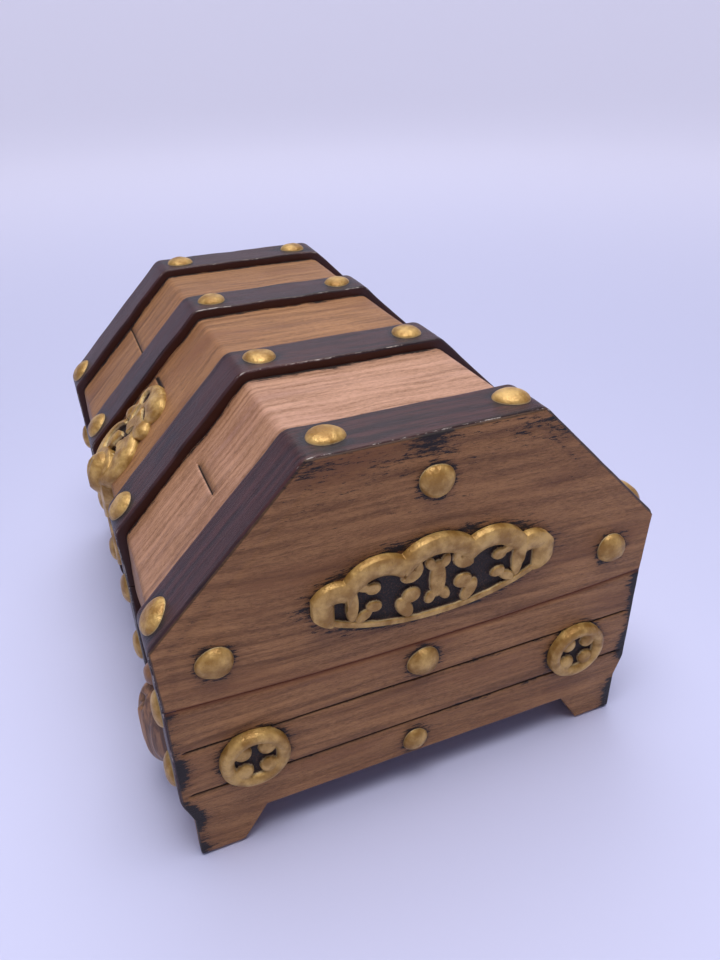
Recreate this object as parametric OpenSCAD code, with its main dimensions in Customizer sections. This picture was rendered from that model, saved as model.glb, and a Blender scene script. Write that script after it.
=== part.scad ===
// Treasure chest ornament that lets out air bubbles under water. Millimetres, +Z up.
// The front looks along -Y, the length runs along X, and the origin is on the ground under the middle.
// The lid is hinged along the back. Air comes in through a spigot low in the back wall,
// leaves the air stone under the treasure, gathers under the lid, and lifts the lid to escape.

/* [Chest] */
// Length over the two end faces
length = 189; // [170:1:210]
// Width across the lid's shoulders, the widest place of the shells
shoulder_w = 150; // [144:1:160]
// Width of the lid's flat top over the straps
top_w = 65.2; // [56:0.2:76]
// Height of the joint between base and lid
seam_z = 58.6; // [54:0.2:64]
// Height of the lid's shoulders
shoulder_z = 79; // [76:0.5:86]
// Height of the lid's flat top over the straps
top_z = 122.3; // [116:0.1:130]
// Thickness of the cast walls and of the floor
wall = 5; // [4:0.5:6]
// Gap between lid and base all round
seam_gap = 0.3; // [0.3:0.1:0.6]

/* [Feet] */
// Height of the arches between the bracket feet
arch_z = 12; // [8:0.5:14]
// Half span of the end arches at the top
end_arch = 52.8; // [46:0.2:56]
// Half span of the front and back arches at the top
front_arch = 72; // [60:1:76]
// How far each arch widens from its top to the ground
arch_slant = 8; // [2:0.5:10]

/* [Straps] */
// Width of each strap
strap_w = 17; // [12:0.5:20]
// How far the straps stand out of the boards
strap_t = 3; // [2:0.1:3.4]
// Distance of the two middle straps from the middle
mid_strap_x = 30; // [26:0.5:34]
// Height at which the base straps end in a bevel
strap_foot_z = 15.2; // [13:0.1:18]

/* [Studs and ornaments] */
// Radius of a domed stud
stud_r = 4.9; // [4:0.1:5.5]
// Height of a domed stud
stud_h = 3.4; // [2:0.1:3.4]
// Radius of a rosette on the ends of the base
rosette_r = 10; // [8:0.5:11]
// Length of the pierced plate on each end of the lid
plate_len = 73; // [60:1:80]
// Height of the pierced plate
plate_h = 26; // [20:1:30]

/* [Hinges] */
// Distance of each hinge from the middle
hinge_x = 58; // [54:1:62]
// Outer radius of the knuckles
knuckle_r = 3.6; // [3.2:0.1:3.8]
// Radius of the hinge pins
pin_r = 1.5; // [1.2:0.1:1.8]

/* [Air line] */
// Outer radius of the spigot, for airline hose with a bore of 4 to 5 mm
spigot_r = 2.4; // [2:0.1:2.5]
// Radius of the air passage
air_r = 1.2; // [0.8:0.1:1.4]
// Height of the spigot above the ground
spigot_z = 25; // [24:0.5:30]
// Radius of the air stone
stone_r = 7; // [5:0.5:7.5]

/* [Hidden] */
$fn = 48;
skin = 1;                                // thickness of the raised border on the end faces
depth = 80;                              // how far handle, hinges and spigot reach, front and back
end_x = length / 2;
shoulder_y = shoulder_w / 2;
top_y = top_w / 2;
seam_y = shoulder_y - 0.8;               // the lid's walls lean out a little towards the shoulders
core_y = seam_y - strap_t;               // boards of the base
lid_core_y = shoulder_y - strap_t;       // boards of the lid
lid_z = seam_z + seam_gap;
slope = atan2(top_z - shoulder_z, shoulder_y - top_y);
bevel_h = 7.8;                           // height of the bevel under each base strap
base_strap_side = [                      // in Y and Z
    [core_y, strap_foot_z], [seam_y, strap_foot_z + bevel_h], [seam_y, seam_z], [core_y, seam_z]
];
floor_z = arch_z + wall;
tray_z = 40;                             // underside of the treasure tray
tray_t = 3;
vent_r = 6;                              // hole in the tray and the heap where the bubbles rise
side = [-1, 1];                          // front or left, and back or right
end_strap_w = strap_w - skin;            // the end straps butt against the border of the end faces
end_strap_x = end_x - skin - end_strap_w / 2;
strap_x = [-end_strap_x, -mid_strap_x, mid_strap_x, end_strap_x];
cut = 1;                                 // how far a cut runs past the face it opens

// boards and studs
board_joint = 0.8;                       // depth of the joints across the end faces, and half their width
board_joint_z = [26, 42.7];
base_stud_z = [29, 52.5];                // on the base straps
base_end_stud = [-1.2, 49.3];            // Y and Z of the stud high on each base end
small_stud = [-3.3, 18.2];               // Y and Z of the smaller stud below it
small_stud_r = 4;
small_stud_h = 2.6;
top_stud_y = 24.4;
top_stud_shift = [0, 0, 0, 3];           // how much further back the rear top stud of each strap sits
slope_stud_s = 5.4;                      // from the shoulder up the slope
lid_end_studs = [[1.4, 108.5], [-59.5, 70.8], [60.5, 70.8]];

// rosettes
rosette_y = 52.5;
rosette_z = 34;
rosette_cross = [1.6, 2.4];              // width of the cross cut into a rosette, and twice its depth

// drop handle on the right of the front
handle_x = 65;
handle_w = 17;
handle_low = 11;
handle_high = 45;
handle_ends = [handle_low + handle_w / 2, handle_high - handle_w / 2];   // centres of its round ends
handle_hole_r = 3.4;
knob_r = 4;
knob_z = 46.5;
knob_t = 6;

// lock, hasp and front plate
ornament_x = -5;                         // the front plate, hasp and lock sit a little left of the middle
lock_z = 48;                             // centre of the lock plate's round lower end
lock_r = 9;
lock_h = 9.5;
lock_t = 4;
keyhole_r = 2;
keyhole_w = 2;
keyhole_drop = 6;
hasp_t = 5;
hasp_w = [16, 10];                       // width of the tongue at its top and at its lower end
hasp_gap = 0.6;                          // from the tongue's lower end to the lid's edge
hasp_top = shoulder_z - 6;
hasp_boss_r = 4;
hasp_boss_t = 2;
front_plate_t = 5;
scroll = [10, 13.5];                     // place up the slope and radius of the wide scroll
side_lobe = [9, 21, 5];                  // offset, place and radius of the two lobes over it
neck = [10, 19, 8];                      // width, place and length of the neck
teardrop = [1, 29, 8.5];                 // offset, place and radius of the top

// end plates
end_plate_pos = [2, 78.5];               // Y and Z of the plate's middle
end_plate_t = 3;
plate_rise = plate_h / 2;
lens_r = (plate_len * plate_len / 4 + plate_rise * plate_rise) / (2 * plate_rise);
lens_end = plate_len / 2 - 2.5;          // the lens stops inside the end lobes
plate_lobes = [[0, 0, 13.5], [18, 0, 9.6], [29.5, -0.5, 6.4]];   // offset along the plate, height and radius

// hinges
axis_y = depth - knuckle_r;
axis_z = seam_z + seam_gap / 2;
knuckle_w = 6;                           // length of each of the two base knuckles
lid_knuckle_w = 10;
knuckle_gap = 0.3;
base_knuckle_x = lid_knuckle_w / 2 + knuckle_gap + knuckle_w / 2;
leaf_w = 2 * base_knuckle_x + knuckle_w;
leaf_t = 1.5;
lid_leaf_t = 2.5;
leaf_low = 42;
leaf_top = seam_z - 0.6;
leaf_high = 76;
bracket_low = 50;                        // where the base knuckle's bracket leaves the leaf
bracket_reach = 2;                       // how far the lid leaf's arm passes the axis
heel_t = 3.4;
heel_drop = 5.8;                         // the heel meets the base leaf when the lid is fully open
heel_in = -0.4;
pin_play = 0.06;
pin_head_r = pin_r + 0.8;
pin_head_t = 1;

// air line, with lengths measured towards the back
grommet_r = 4.4;
grommet_lip_r = grommet_r + 1.4;
shank_r = 3.2;
lip = 1.2;                               // thickness of the grommet's lips and of the inlet's flange
nose = 8;                                // how far the inlet reaches into the chest
back_in = core_y - wall;                 // inner face of the back wall
front_lip = back_in - lip - 0.4;         // where the inlet's shoulder meets the tube
tube_end = 22;
tube_t = 0.8;
nipple_len = 7;
nipple_flange = 1.6;
nipple_in = 6;                           // how deep the nipple sits in the stone
stone_len = 34;
stone_end = tube_end - 2;
stone_low = stone_end - stone_len;
cradle_w = 18;
cradle_t = 4;
cradle_y = [stone_low + 6, stone_end - 10];

// treasure
tray_x = end_x - wall - 0.5;
tray_y = core_y - wall - 0.5;
post_r = 3;
post_in = 5;                             // distance of the posts from the tray's edges
heap_r = 52;
heap_h = 11;
heap_ball = (heap_r * heap_r + heap_h * heap_h) / (2 * heap_h);
heap_z = tray_z + tray_t;
heap_steps = 8;
gem_r = 3.2;
gem_h = 3;
gem_ring = [72, 60];                     // the gems lie on an oval round the heap
gem_angles = [20:72:359];
pearl_r = 1.8;
pearl_count = 14;
pearl_ring = 9;
pearl_pos = [72, -32];

wood = "#9b6f58";
dark = "#46323a";
gold = "#b08a3c";

// ---- shared shapes ----

// A polygon given in Y and Z, extruded along X and centred on x
module along_x(x, width) translate([x - width / 2, 0, 0])
    rotate([90, 0, 90]) linear_extrude(width) children();

// A shape drawn in X and Z, standing out of the plane y towards the front
module from_front(y, thick) translate([0, y, 0]) rotate([90, 0, 0]) linear_extrude(thick) children();

// A half outline and its mirror image, as one closed outline in Y and Z
function both(half) = concat(half, [for (i = [len(half) - 1:-1:0]) [-half[i][0], half[i][1]]]);

// Half outline of the lid, set in by t from the outside of the straps
function lid_half(t, z0, lean = 0) = [
    [shoulder_y - lean - t, z0],
    [shoulder_y - t, shoulder_z - t * cos(slope) / (1 + sin(slope))],
    [top_y - t * sin(slope) / (1 + cos(slope)), top_z - t]
];

// Half outline of the base at a strap, with the bevel at the strap's lower end
function base_half(z0) = [
    [core_y, z0], [core_y, strap_foot_z], [seam_y, strap_foot_z + bevel_h], [seam_y, seam_z]
];

// Domed stud standing on z = 0, a cap of a sphere
module stud(r = stud_r, h = stud_h) {
    ball = (r * r + h * h) / (2 * h);
    intersection() {
        translate([0, 0, h - ball]) sphere(ball);
        cylinder(r = r, h = h);
    }
}

// Puts a child that stands on z = 0 onto a lid slope, s up from the shoulder
module on_slope(x, s) for (sy = side)
    translate([x, sy * (shoulder_y - s * cos(slope)), shoulder_z + s * sin(slope)])
        rotate([-sy * slope, 0, 0]) children();

// Puts a child onto an end face at y, z
module on_end(sx, y, z) translate([sx * end_x, y, z]) rotate([0, sx * 90, 0]) children();

// Puts a child onto the front or back of a base strap
module on_wall(sy, x, z) translate([x, sy * seam_y, z]) rotate([-sy * 90, 0, 0]) children();

// ---- base ----

module arch(half, width) along_x(0, width)
    polygon(both([[half + arch_slant, -cut], [half + arch_slant, 0], [half, arch_z]]));

module base_shell() color(wood) difference() {
    union() {
        translate([-end_x + skin, -core_y, 0]) cube([length - 2 * skin, 2 * core_y, seam_z]);
        for (sx = side) along_x(sx * (end_x - skin / 2), skin) polygon(both(base_half(0)));
    }
    translate([-end_x + wall, -core_y + wall, floor_z]) cube([length - 2 * wall, 2 * (core_y - wall), seam_z]);
    arch(end_arch, length + 2 * cut);
    rotate([0, 0, 90]) arch(front_arch, 2 * depth);
    for (sx = side, z = board_joint_z) translate([sx * end_x, 0, z])
        cube([2 * board_joint, 2 * (core_y - 1), board_joint], center = true);
    translate([0, core_y + cut, spigot_z]) rotate([90, 0, 0]) cylinder(r = grommet_r, h = wall + 2 * cut);
}

module base_strap(i, sy) color(dark) along_x(strap_x[i], (i == 0 || i == 3) ? end_strap_w : strap_w)
    polygon([for (p = base_strap_side) [sy * p[0], p[1]]]);

module base_studs() color(gold) {
    for (sy = side, x = strap_x, z = base_stud_z) on_wall(sy, x, z) stud();
    for (sx = side) {
        on_end(sx, base_end_stud[0], base_end_stud[1]) stud();
        on_end(sx, small_stud[0], small_stud[1]) stud(small_stud_r, small_stud_h);
    }
}

module rosette(sx, sy) color(gold) on_end(sx, sy * rosette_y, rosette_z) difference() {
    stud(r = rosette_r, h = stud_h);
    for (a = [0, 90]) rotate(a) translate([0, 0, stud_h])
        cube([rosette_r, rosette_cross[0], rosette_cross[1]], center = true);
}

// Moulded drop handle: a long loop that stands off the boards and hangs from a knob
module handle() color("#7d5238") translate([handle_x, 0, 0]) {
    from_front(-core_y, depth - core_y) difference() {
        union() {
            for (z = handle_ends) translate([0, z]) circle(handle_w / 2);
            translate([-handle_w / 2, handle_ends[0]]) square([handle_w, handle_ends[1] - handle_ends[0]]);
        }
        translate([0, handle_ends[1]]) circle(handle_hole_r);
    }
    from_front(-core_y, knob_t) translate([0, knob_z]) circle(knob_r);
}

// Shield with a round lower end and a keyhole
module lock_plate() color(gold) from_front(-core_y, lock_t) translate([ornament_x, lock_z]) difference() {
    union() {
        translate([-lock_r, 0]) square([2 * lock_r, lock_h]);
        circle(lock_r);
    }
    circle(keyhole_r);
    translate([-keyhole_w / 2, -keyhole_drop]) square([keyhole_w, keyhole_drop]);
}

// ---- hinges ----

// A cylinder on the hinge axis, centred on x
module x_cylinder(x, r, w) translate([x - w / 2, axis_y, axis_z]) rotate([0, 90, 0]) cylinder(r = r, h = w);

// Side outline of the brackets that carry the base knuckles
module base_bracket() polygon([
    [core_y + cut, bracket_low], [axis_y, axis_z - knuckle_r], [axis_y, axis_z], [core_y + cut, leaf_top]
]);

// Side outline of the lid's leaf, with the arm that reaches to the axis
module lid_bracket() polygon([
    [lid_core_y, lid_z + 0.4], [lid_core_y, leaf_high], [lid_core_y + lid_leaf_t, leaf_high],
    [axis_y + bracket_reach, axis_z + lid_leaf_t], [axis_y + bracket_reach, axis_z],
    [axis_y - bracket_reach, axis_z]
]);

module hinge_leaf_base(sx) color(dark) difference() {
    union() {
        translate([sx * hinge_x - leaf_w / 2, core_y, leaf_low]) cube([leaf_w, leaf_t, leaf_top - leaf_low]);
        for (x = [sx * hinge_x - base_knuckle_x, sx * hinge_x + base_knuckle_x]) {
            x_cylinder(x, knuckle_r, knuckle_w);
            along_x(x, knuckle_w) base_bracket();
        }
    }
    x_cylinder(sx * hinge_x, pin_r, leaf_w + 2 * cut);
}

module hinge_leaf_lid(sx) color(dark) difference() {
    union() {
        along_x(sx * hinge_x, lid_knuckle_w) lid_bracket();
        x_cylinder(sx * hinge_x, knuckle_r, lid_knuckle_w);
        translate([sx * hinge_x - lid_knuckle_w / 2, axis_y + heel_in, axis_z - heel_drop])
            cube([lid_knuckle_w, heel_t, heel_drop]);
    }
    x_cylinder(sx * hinge_x, pin_r + pin_play, leaf_w);
}

module hinge_pin(sx) color("#b89a50") {
    x_cylinder(sx * hinge_x, pin_r, leaf_w);
    for (k = side) x_cylinder(sx * hinge_x + k * (leaf_w + pin_head_t) / 2, pin_head_r, pin_head_t);
}

// ---- air line ----

// A revolved outline of radius and length, with its length running towards the back
module along_y(outline) translate([0, 0, spigot_z]) rotate([-90, 0, 0]) rotate_extrude() polygon(outline);

module inlet_grommet() color("#222222") along_y([
    [shank_r, back_in - lip], [grommet_lip_r, back_in - lip], [grommet_lip_r, back_in], [grommet_r, back_in],
    [grommet_r, core_y], [grommet_lip_r, core_y], [grommet_lip_r, core_y + lip], [shank_r, core_y + lip]
]);

module air_inlet() color("#2b2b2b") along_y([
    [air_r, back_in - nose], [spigot_r, back_in - nose], [spigot_r, front_lip], [shank_r, front_lip],
    [shank_r, core_y + lip], [spigot_r, core_y + lip], [spigot_r, depth - 0.5], [spigot_r - 0.5, depth],
    [air_r, depth]
]);

module air_tube() color("#d8e0dc") along_y([
    [spigot_r, tube_end], [spigot_r + tube_t, tube_end], [spigot_r + tube_t, front_lip], [spigot_r, front_lip]
]);

module stone_nipple() color("#e8e8e8") along_y([
    [air_r, stone_end - nipple_in], [spigot_r, stone_end - nipple_in], [spigot_r, stone_end],
    [spigot_r + nipple_flange, stone_end], [spigot_r + nipple_flange, tube_end], [spigot_r, tube_end],
    [spigot_r, tube_end + nipple_len], [air_r, tube_end + nipple_len]
]);

module air_stone() color("#8f98a0") along_y([
    [0, stone_low], [stone_r - 1, stone_low], [stone_r, stone_low + 1], [stone_r, stone_end - 1],
    [stone_r - 1, stone_end], [spigot_r, stone_end], [spigot_r, stone_end - nipple_in],
    [0, stone_end - nipple_in]
]);

// Two saddles that carry the air stone above the floor
module stone_cradle() color("#3a3a3a") difference() {
    for (y = cradle_y) translate([-cradle_w / 2, y - cradle_t / 2, floor_z])
        cube([cradle_w, cradle_t, spigot_z - floor_z]);
    translate([0, stone_low - cut, spigot_z]) rotate([-90, 0, 0])
        cylinder(r = stone_r, h = stone_len + 2 * cut);
}

// ---- treasure ----

module treasure_tray() color("#5a4034") difference() {
    translate([-tray_x, -tray_y, tray_z]) cube([2 * tray_x, 2 * tray_y, tray_t]);
    translate([0, 0, tray_z - cut]) cylinder(r = vent_r, h = tray_t + 2 * cut);
}

module tray_posts() color("#5a4034") for (sx = side, sy = side)
    translate([sx * (tray_x - post_in), sy * (tray_y - post_in), floor_z])
        cylinder(r = post_r, h = tray_z - floor_z);

function heap_rise(r) = heap_h - heap_ball + sqrt(heap_ball * heap_ball - r * r);

module coin_heap() color("#c9a13b") translate([0, 0, heap_z]) rotate_extrude() polygon(concat(
    [[vent_r, 0]],
    [for (k = [heap_steps:-1:0]) let (r = vent_r + (heap_r - vent_r) * k / heap_steps) [r, heap_rise(r)]]
));

module gems() color("#a02038") for (a = gem_angles)
    translate([gem_ring[0] * cos(a), gem_ring[1] * sin(a), heap_z]) cylinder(r = gem_r, h = gem_h, $fn = 6);

module pearls() color("#efe9dc") for (i = [0:pearl_count - 1]) let (a = i * 360 / pearl_count)
    translate([pearl_pos[0] + pearl_ring * cos(a), pearl_pos[1] + pearl_ring * sin(a), heap_z + pearl_r])
        sphere(pearl_r, $fn = 24);

// ---- lid ----

module lid_shell() color(wood) difference() {
    union() {
        along_x(0, length - 2 * skin) polygon(both(lid_half(strap_t, lid_z)));
        for (sx = side) along_x(sx * (end_x - skin / 2), skin)
            polygon(both(lid_half(0, lid_z, shoulder_y - seam_y)));
    }
    along_x(0, length - 2 * wall) polygon(both(lid_half(strap_t + wall, lid_z - cut)));
}

module lid_strap(i) color(dark) along_x(strap_x[i], (i == 0 || i == 3) ? end_strap_w : strap_w) difference() {
    polygon(both(lid_half(0, lid_z, shoulder_y - seam_y)));
    polygon(both(concat([[lid_core_y, lid_z - cut]], lid_half(strap_t, lid_z))));
}

module lid_studs() color(gold) {
    for (i = [0:3]) {
        for (y = [-top_stud_y, top_stud_y + top_stud_shift[i]]) translate([strap_x[i], y, top_z]) stud();
        on_slope(strap_x[i], slope_stud_s) stud();
    }
    for (sx = side, p = lid_end_studs) on_end(sx, p[0], p[1]) stud();
}

// Scalloped plate on each end of the lid: a lens below, five lobes above
module plate_outline() {
    intersection() {
        translate([0, lens_r - plate_rise]) circle(lens_r);
        translate([-lens_end, -plate_h]) square([2 * lens_end, plate_h]);
    }
    for (lobe = plate_lobes, s = side) translate([s * lobe[0], lobe[1]]) circle(lobe[2]);
}

module end_plate(sx) color(gold) translate([sx * end_x, end_plate_pos[0], end_plate_pos[1]])
    rotate([90, 0, sx * 90]) linear_extrude(end_plate_t) plate_outline();

// Plate on the front slope, from the shoulder up: a wide scroll, a narrow neck and a teardrop
module front_plate() color(gold)
    translate([ornament_x, -shoulder_y, shoulder_z]) rotate([slope, 0, 0]) translate([0, 0, -strap_t])
        linear_extrude(front_plate_t) {
            translate([0, scroll[0]]) circle(scroll[1]);
            for (s = side) translate([s * side_lobe[0], side_lobe[1]]) circle(side_lobe[2]);
            translate([-neck[0] / 2, neck[1]]) square([neck[0], neck[2]]);
            translate([teardrop[0], teardrop[1]]) circle(teardrop[2]);
        }

// Tongue that hangs from the plate down the lid's front, with a boss at the shoulder
module hasp() color(gold) {
    from_front(-lid_core_y, hasp_t) translate([ornament_x, 0]) polygon([
        [-hasp_w[0] / 2, hasp_top], [hasp_w[0] / 2, hasp_top],
        [hasp_w[1] / 2, lid_z + hasp_gap], [-hasp_w[1] / 2, lid_z + hasp_gap]
    ]);
    from_front(-lid_core_y - hasp_t, hasp_boss_t) translate([ornament_x, hasp_top - hasp_w[1] / 2])
        circle(hasp_boss_r);
}

base_shell();
base_strap(0, -1);  // base_strap_front_1
base_strap(1, -1);  // base_strap_front_2
base_strap(2, -1);  // base_strap_front_3
base_strap(3, -1);  // base_strap_front_4
base_strap(0, 1);  // base_strap_back_1
base_strap(1, 1);  // base_strap_back_2
base_strap(2, 1);  // base_strap_back_3
base_strap(3, 1);  // base_strap_back_4
base_studs();
rosette(-1, -1);  // rosette_left_front
rosette(-1, 1);  // rosette_left_back
rosette(1, -1);  // rosette_right_front
rosette(1, 1);  // rosette_right_back
handle();
lock_plate();
hinge_leaf_base(-1);  // hinge_leaf_base_left
hinge_leaf_base(1);  // hinge_leaf_base_right
hinge_pin(-1);  // hinge_pin_left
hinge_pin(1);  // hinge_pin_right
inlet_grommet();
air_inlet();
air_tube();
stone_nipple();
air_stone();
stone_cradle();
treasure_tray();
tray_posts();
coin_heap();
gems();
pearls();
lid_shell();
lid_strap(0);  // lid_strap_1
lid_strap(1);  // lid_strap_2
lid_strap(2);  // lid_strap_3
lid_strap(3);  // lid_strap_4
lid_studs();
end_plate(-1);  // end_plate_left
end_plate(1);  // end_plate_right
front_plate();
hasp();
hinge_leaf_lid(-1);  // hinge_leaf_lid_left
hinge_leaf_lid(1);  // hinge_leaf_lid_right
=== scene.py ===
"""Looks of the bubbling treasure chest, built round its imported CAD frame.

Shapes are worked out in millimetres and become metres when a mesh is made.
Every surface carries a "grain" attribute that says where along and across the brush strokes it lies,
and the paints read it, so that the strokes follow each board and strap.
"""

import itertools
import math

import bmesh
import bpy
import numpy as np
from mathutils import Matrix, Vector


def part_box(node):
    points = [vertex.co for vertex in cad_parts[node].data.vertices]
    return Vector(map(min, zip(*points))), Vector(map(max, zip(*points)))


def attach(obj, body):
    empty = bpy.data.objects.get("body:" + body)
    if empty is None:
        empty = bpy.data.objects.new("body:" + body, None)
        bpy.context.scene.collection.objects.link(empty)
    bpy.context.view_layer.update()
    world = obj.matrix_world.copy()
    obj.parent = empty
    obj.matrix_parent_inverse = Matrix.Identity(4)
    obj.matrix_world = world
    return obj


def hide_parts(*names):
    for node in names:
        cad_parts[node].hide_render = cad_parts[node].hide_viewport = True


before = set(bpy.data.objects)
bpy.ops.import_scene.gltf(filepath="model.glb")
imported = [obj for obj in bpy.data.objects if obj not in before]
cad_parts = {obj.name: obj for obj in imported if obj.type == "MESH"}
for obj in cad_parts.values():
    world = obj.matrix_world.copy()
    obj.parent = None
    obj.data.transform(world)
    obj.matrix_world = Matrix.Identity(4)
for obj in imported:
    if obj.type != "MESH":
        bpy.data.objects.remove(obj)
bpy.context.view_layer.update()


# ---- dimensions, read from the CAD frame ----

def cad_points(name):
    """The vertices of a CAD node in millimetres."""
    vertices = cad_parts[name].data.vertices
    points = np.empty(len(vertices) * 3)
    vertices.foreach_get("co", points)
    return points.reshape(-1, 3) * 1000


def cad_box(name):
    """Lowest and highest corner of a CAD node in millimetres."""
    low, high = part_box(name)
    return np.array(low) * 1000, np.array(high) * 1000


def cad_islands(name):
    """The separate solids of a CAD node, each as an array of points in millimetres."""
    solid = bmesh.new()
    solid.from_mesh(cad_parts[name].data)
    bmesh.ops.remove_doubles(solid, verts=solid.verts, dist=1e-6)
    waiting = set(solid.verts)
    islands = []
    while waiting:
        front = [waiting.pop()]
        found = []
        while front:
            vertex = front.pop()
            found.append(vertex.co[:])
            for edge in vertex.link_edges:
                other = edge.other_vert(vertex)
                if other in waiting:
                    waiting.discard(other)
                    front.append(other)
        islands.append(np.array(found) * 1000)
    solid.free()
    return sorted(islands, key=lambda points: tuple(np.round(points.mean(axis=0), 2)))


# corners of the outline over the straps: the shoulder ends the lid's walls, and the top is level
strap_points = cad_points("lid_strap_2")
strap_foot, strap_head = cad_box("base_strap_back_2")
END_X = cad_box("base_shell")[1][0]
TOP_Z = strap_points[:, 2].max()
SHOULDER_Y = strap_points[:, 1].max()
TOP_Y = strap_points[strap_points[:, 2] > TOP_Z - 0.01, 1].max()
SHOULDER_Z = strap_points[strap_points[:, 1] > SHOULDER_Y - 0.01, 2].max()
LID_Z = cad_box("lid_shell")[0][2]      # lowest edge of the lid
SEAM_Z = cad_box("base_shell")[1][2]    # highest edge of the base
SEAM_Y = strap_head[1]                  # outside of the straps at the seam
CORE_Y = strap_foot[1]                  # outside of the boards behind the base straps
STRAP_FOOT_Z = strap_foot[2]
STRAP_T = SEAM_Y - CORE_Y               # thickness of a strap
LID_CORE_Y = SHOULDER_Y - STRAP_T
SLOPE = math.atan2(TOP_Z - SHOULDER_Z, SHOULDER_Y - TOP_Y)
SLOPE_LENGTH = math.hypot(TOP_Z - SHOULDER_Z, SHOULDER_Y - TOP_Y)
STRAP_X = [sum(box[0] for box in cad_box(f"lid_strap_{i}")) / 2 for i in (1, 2, 3, 4)]
STRAP_W = np.ptp(strap_points[:, 0])

WALL = 5                 # thickness of the cast walls
ARCH_Z = 12              # height of the arches between the feet
END_ARCH = 52.8          # half width of an end arch along its level top
FRONT_ARCH = 72          # the same at the front and back
ARCH_SLANT = 8           # width of an arch's slanted side
BEVEL_H = 7.8            # height over which the base straps thin out to their feet
RIM = 0.45               # how far the end boards lie inside the edge of the end straps
TUCK = 0.4               # how far boards and bands reach into what lies beside or below them
BOARD_JOINTS = (26, 42.7)    # heights of the joints between the base's boards
LID_JOINTS = ((-77, -39, 32), (46, 66, 32), (-21, -6, 33))    # from x, to x, distance up the front slope
SLOPE_FINE = (32, 33.6)  # distances up a slope round which the lid's rows lie closer together
TOP_FINE = (14,)         # the same across the top
CORNER_CUT = 1.2         # how much shorter the rounded outline is than one with sharp corners
GROOVE_DEPTH = 0.7       # of the board joints in the cast walls
GROOVE_W = 0.28          # their half width
END_EDGE = 0.6           # rounding round the end faces
SEAM_EDGE = 0.5          # rounding along the seam
# SOOT also sets how far the painted shade at the feet of the straps reaches.
SOOT = 2.2               # how far black paint spreads from studs and straps
ROW = 2.2                # steps of the lid's grid: along its outline, and across it
COLUMN = 1.6
END_ROW = 1.1            # step up the end faces
STUD_R = 4.9             # radius of the studs on the straps
SEAM_SAG = 2.6           # the joint hangs a little on the end faces
FRONT_PLATE_DROP = 2.0   # how far the front plate reaches below the shoulder
LID_WAIST = 1.3          # the back ridge of the cast lid is drawn in at the middle
CAST_CREASE = 80         # degrees: on cast ornaments only edges sharper than this show as creases
FRONT_AXES = ((1, 0, 0), (0, 0, 1), (0, -1, 0))    # across, up and out on the front


# ---- helpers for shapes ----

def noise(points, scale, seed):
    """Smooth random values from -1 to 1, with bumps about scale apart."""
    cell = np.asarray(points) / scale
    low = np.floor(cell).astype(int)
    part = cell - low
    part = part * part * (3 - 2 * part)
    total = 0
    for corner in itertools.product((0, 1), repeat=3):
        weight = np.prod(np.where(corner, part, 1 - part), axis=-1)
        value = np.sin((low + corner) @ np.array((12.9898, 78.233, 37.719)) + seed) * 43758.5453
        total = total + weight * (value - np.floor(value))
    return total * 2 - 1


def smooth(value, low, high):
    """0 below low, 1 above high and an S-shaped way between."""
    t = np.clip((value - low) / (high - low), 0, 1)
    return t * t * (3 - 2 * t)


def fillet(distance, radius):
    """How far a rounded edge lies below the flat at this distance from the edge."""
    inside = radius - np.clip(distance, 0, radius)
    return radius - np.sqrt(np.maximum(radius * radius - inside * inside, 0))


def bump(distance, radius):
    """1 on a line or point, 0 from radius outwards, round in between."""
    return np.sqrt(np.clip(1 - (distance / radius) ** 2, 0, 1))


def spread(low, high, step, near=(), fine=(-0.5, -0.22, 0, 0.22, 0.5)):
    """Values from low to high about a step apart, with extra ones round each value in near."""
    values = list(np.linspace(low, high, max(2, round((high - low) / step) + 1)))
    clear = max(map(abs, fine)) + step / 3
    for centre in near:
        values = [v for v in values if abs(v - centre) > clear or v in (low, high)]
        values += [centre + f for f in fine]
    return np.array(sorted(v for v in values if low <= v <= high))


def path(corners, radius, fractions):
    """Points along a polyline whose corners are rounded. fractions has one array for each straight."""
    corners = np.array(corners, dtype=float)
    last = len(corners) - 2
    points = []
    for i, share in enumerate(fractions):
        a, b = corners[i], corners[i + 1]
        along = (b - a) / np.linalg.norm(b - a)
        start = a + along * (radius if i > 0 else 0)
        end = b - along * (radius if i < last else 0)
        points += [start + (end - start) * f for f in share]
        if i < last:
            ahead = corners[i + 2] - b
            after = b + ahead / np.linalg.norm(ahead) * radius
            for t in (0.2, 0.4, 0.6, 0.8):
                points.append(end * (1 - t) ** 2 + b * 2 * t * (1 - t) + after * t * t)
    return np.array(points)


def shares(corners, step):
    """Even fractions for each straight of a polyline, about a step apart."""
    lengths = np.linalg.norm(np.diff(np.array(corners, dtype=float), axis=0), axis=1)
    return [np.linspace(0, 1, max(2, round(length / step) + 1)) for length in lengths]


def run_length(points):
    """Distance along a line of points."""
    steps = np.linalg.norm(np.diff(points, axis=0), axis=1)
    return np.concatenate([[0], np.cumsum(steps)])


def quads(rows, cols, start=0, flip=False):
    """Faces over a grid of vertices that begins at index start."""
    first = start + np.arange(rows - 1)[:, None] * cols + np.arange(cols - 1)[None]
    faces = np.stack([first, first + 1, first + cols + 1, first + cols], axis=-1).reshape(-1, 4)
    return faces[:, ::-1] if flip else faces


def closed_sheet(outer, inner):
    """Points and faces of the solid between two grids of one shape."""
    rows, cols = outer.shape[:2]
    count = rows * cols
    index = np.arange(count).reshape(rows, cols)
    rim = np.concatenate([index[0, :-1], index[:-1, -1], index[-1, :0:-1], index[:0:-1, 0]])
    ahead = np.roll(rim, -1)
    walls = np.stack([ahead, rim, rim + count, ahead + count], axis=-1)
    faces = np.concatenate([quads(rows, cols), quads(rows, cols, count, flip=True), walls])
    return np.concatenate([outer.reshape(-1, 3), inner.reshape(-1, 3)]), faces.tolist()


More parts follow.
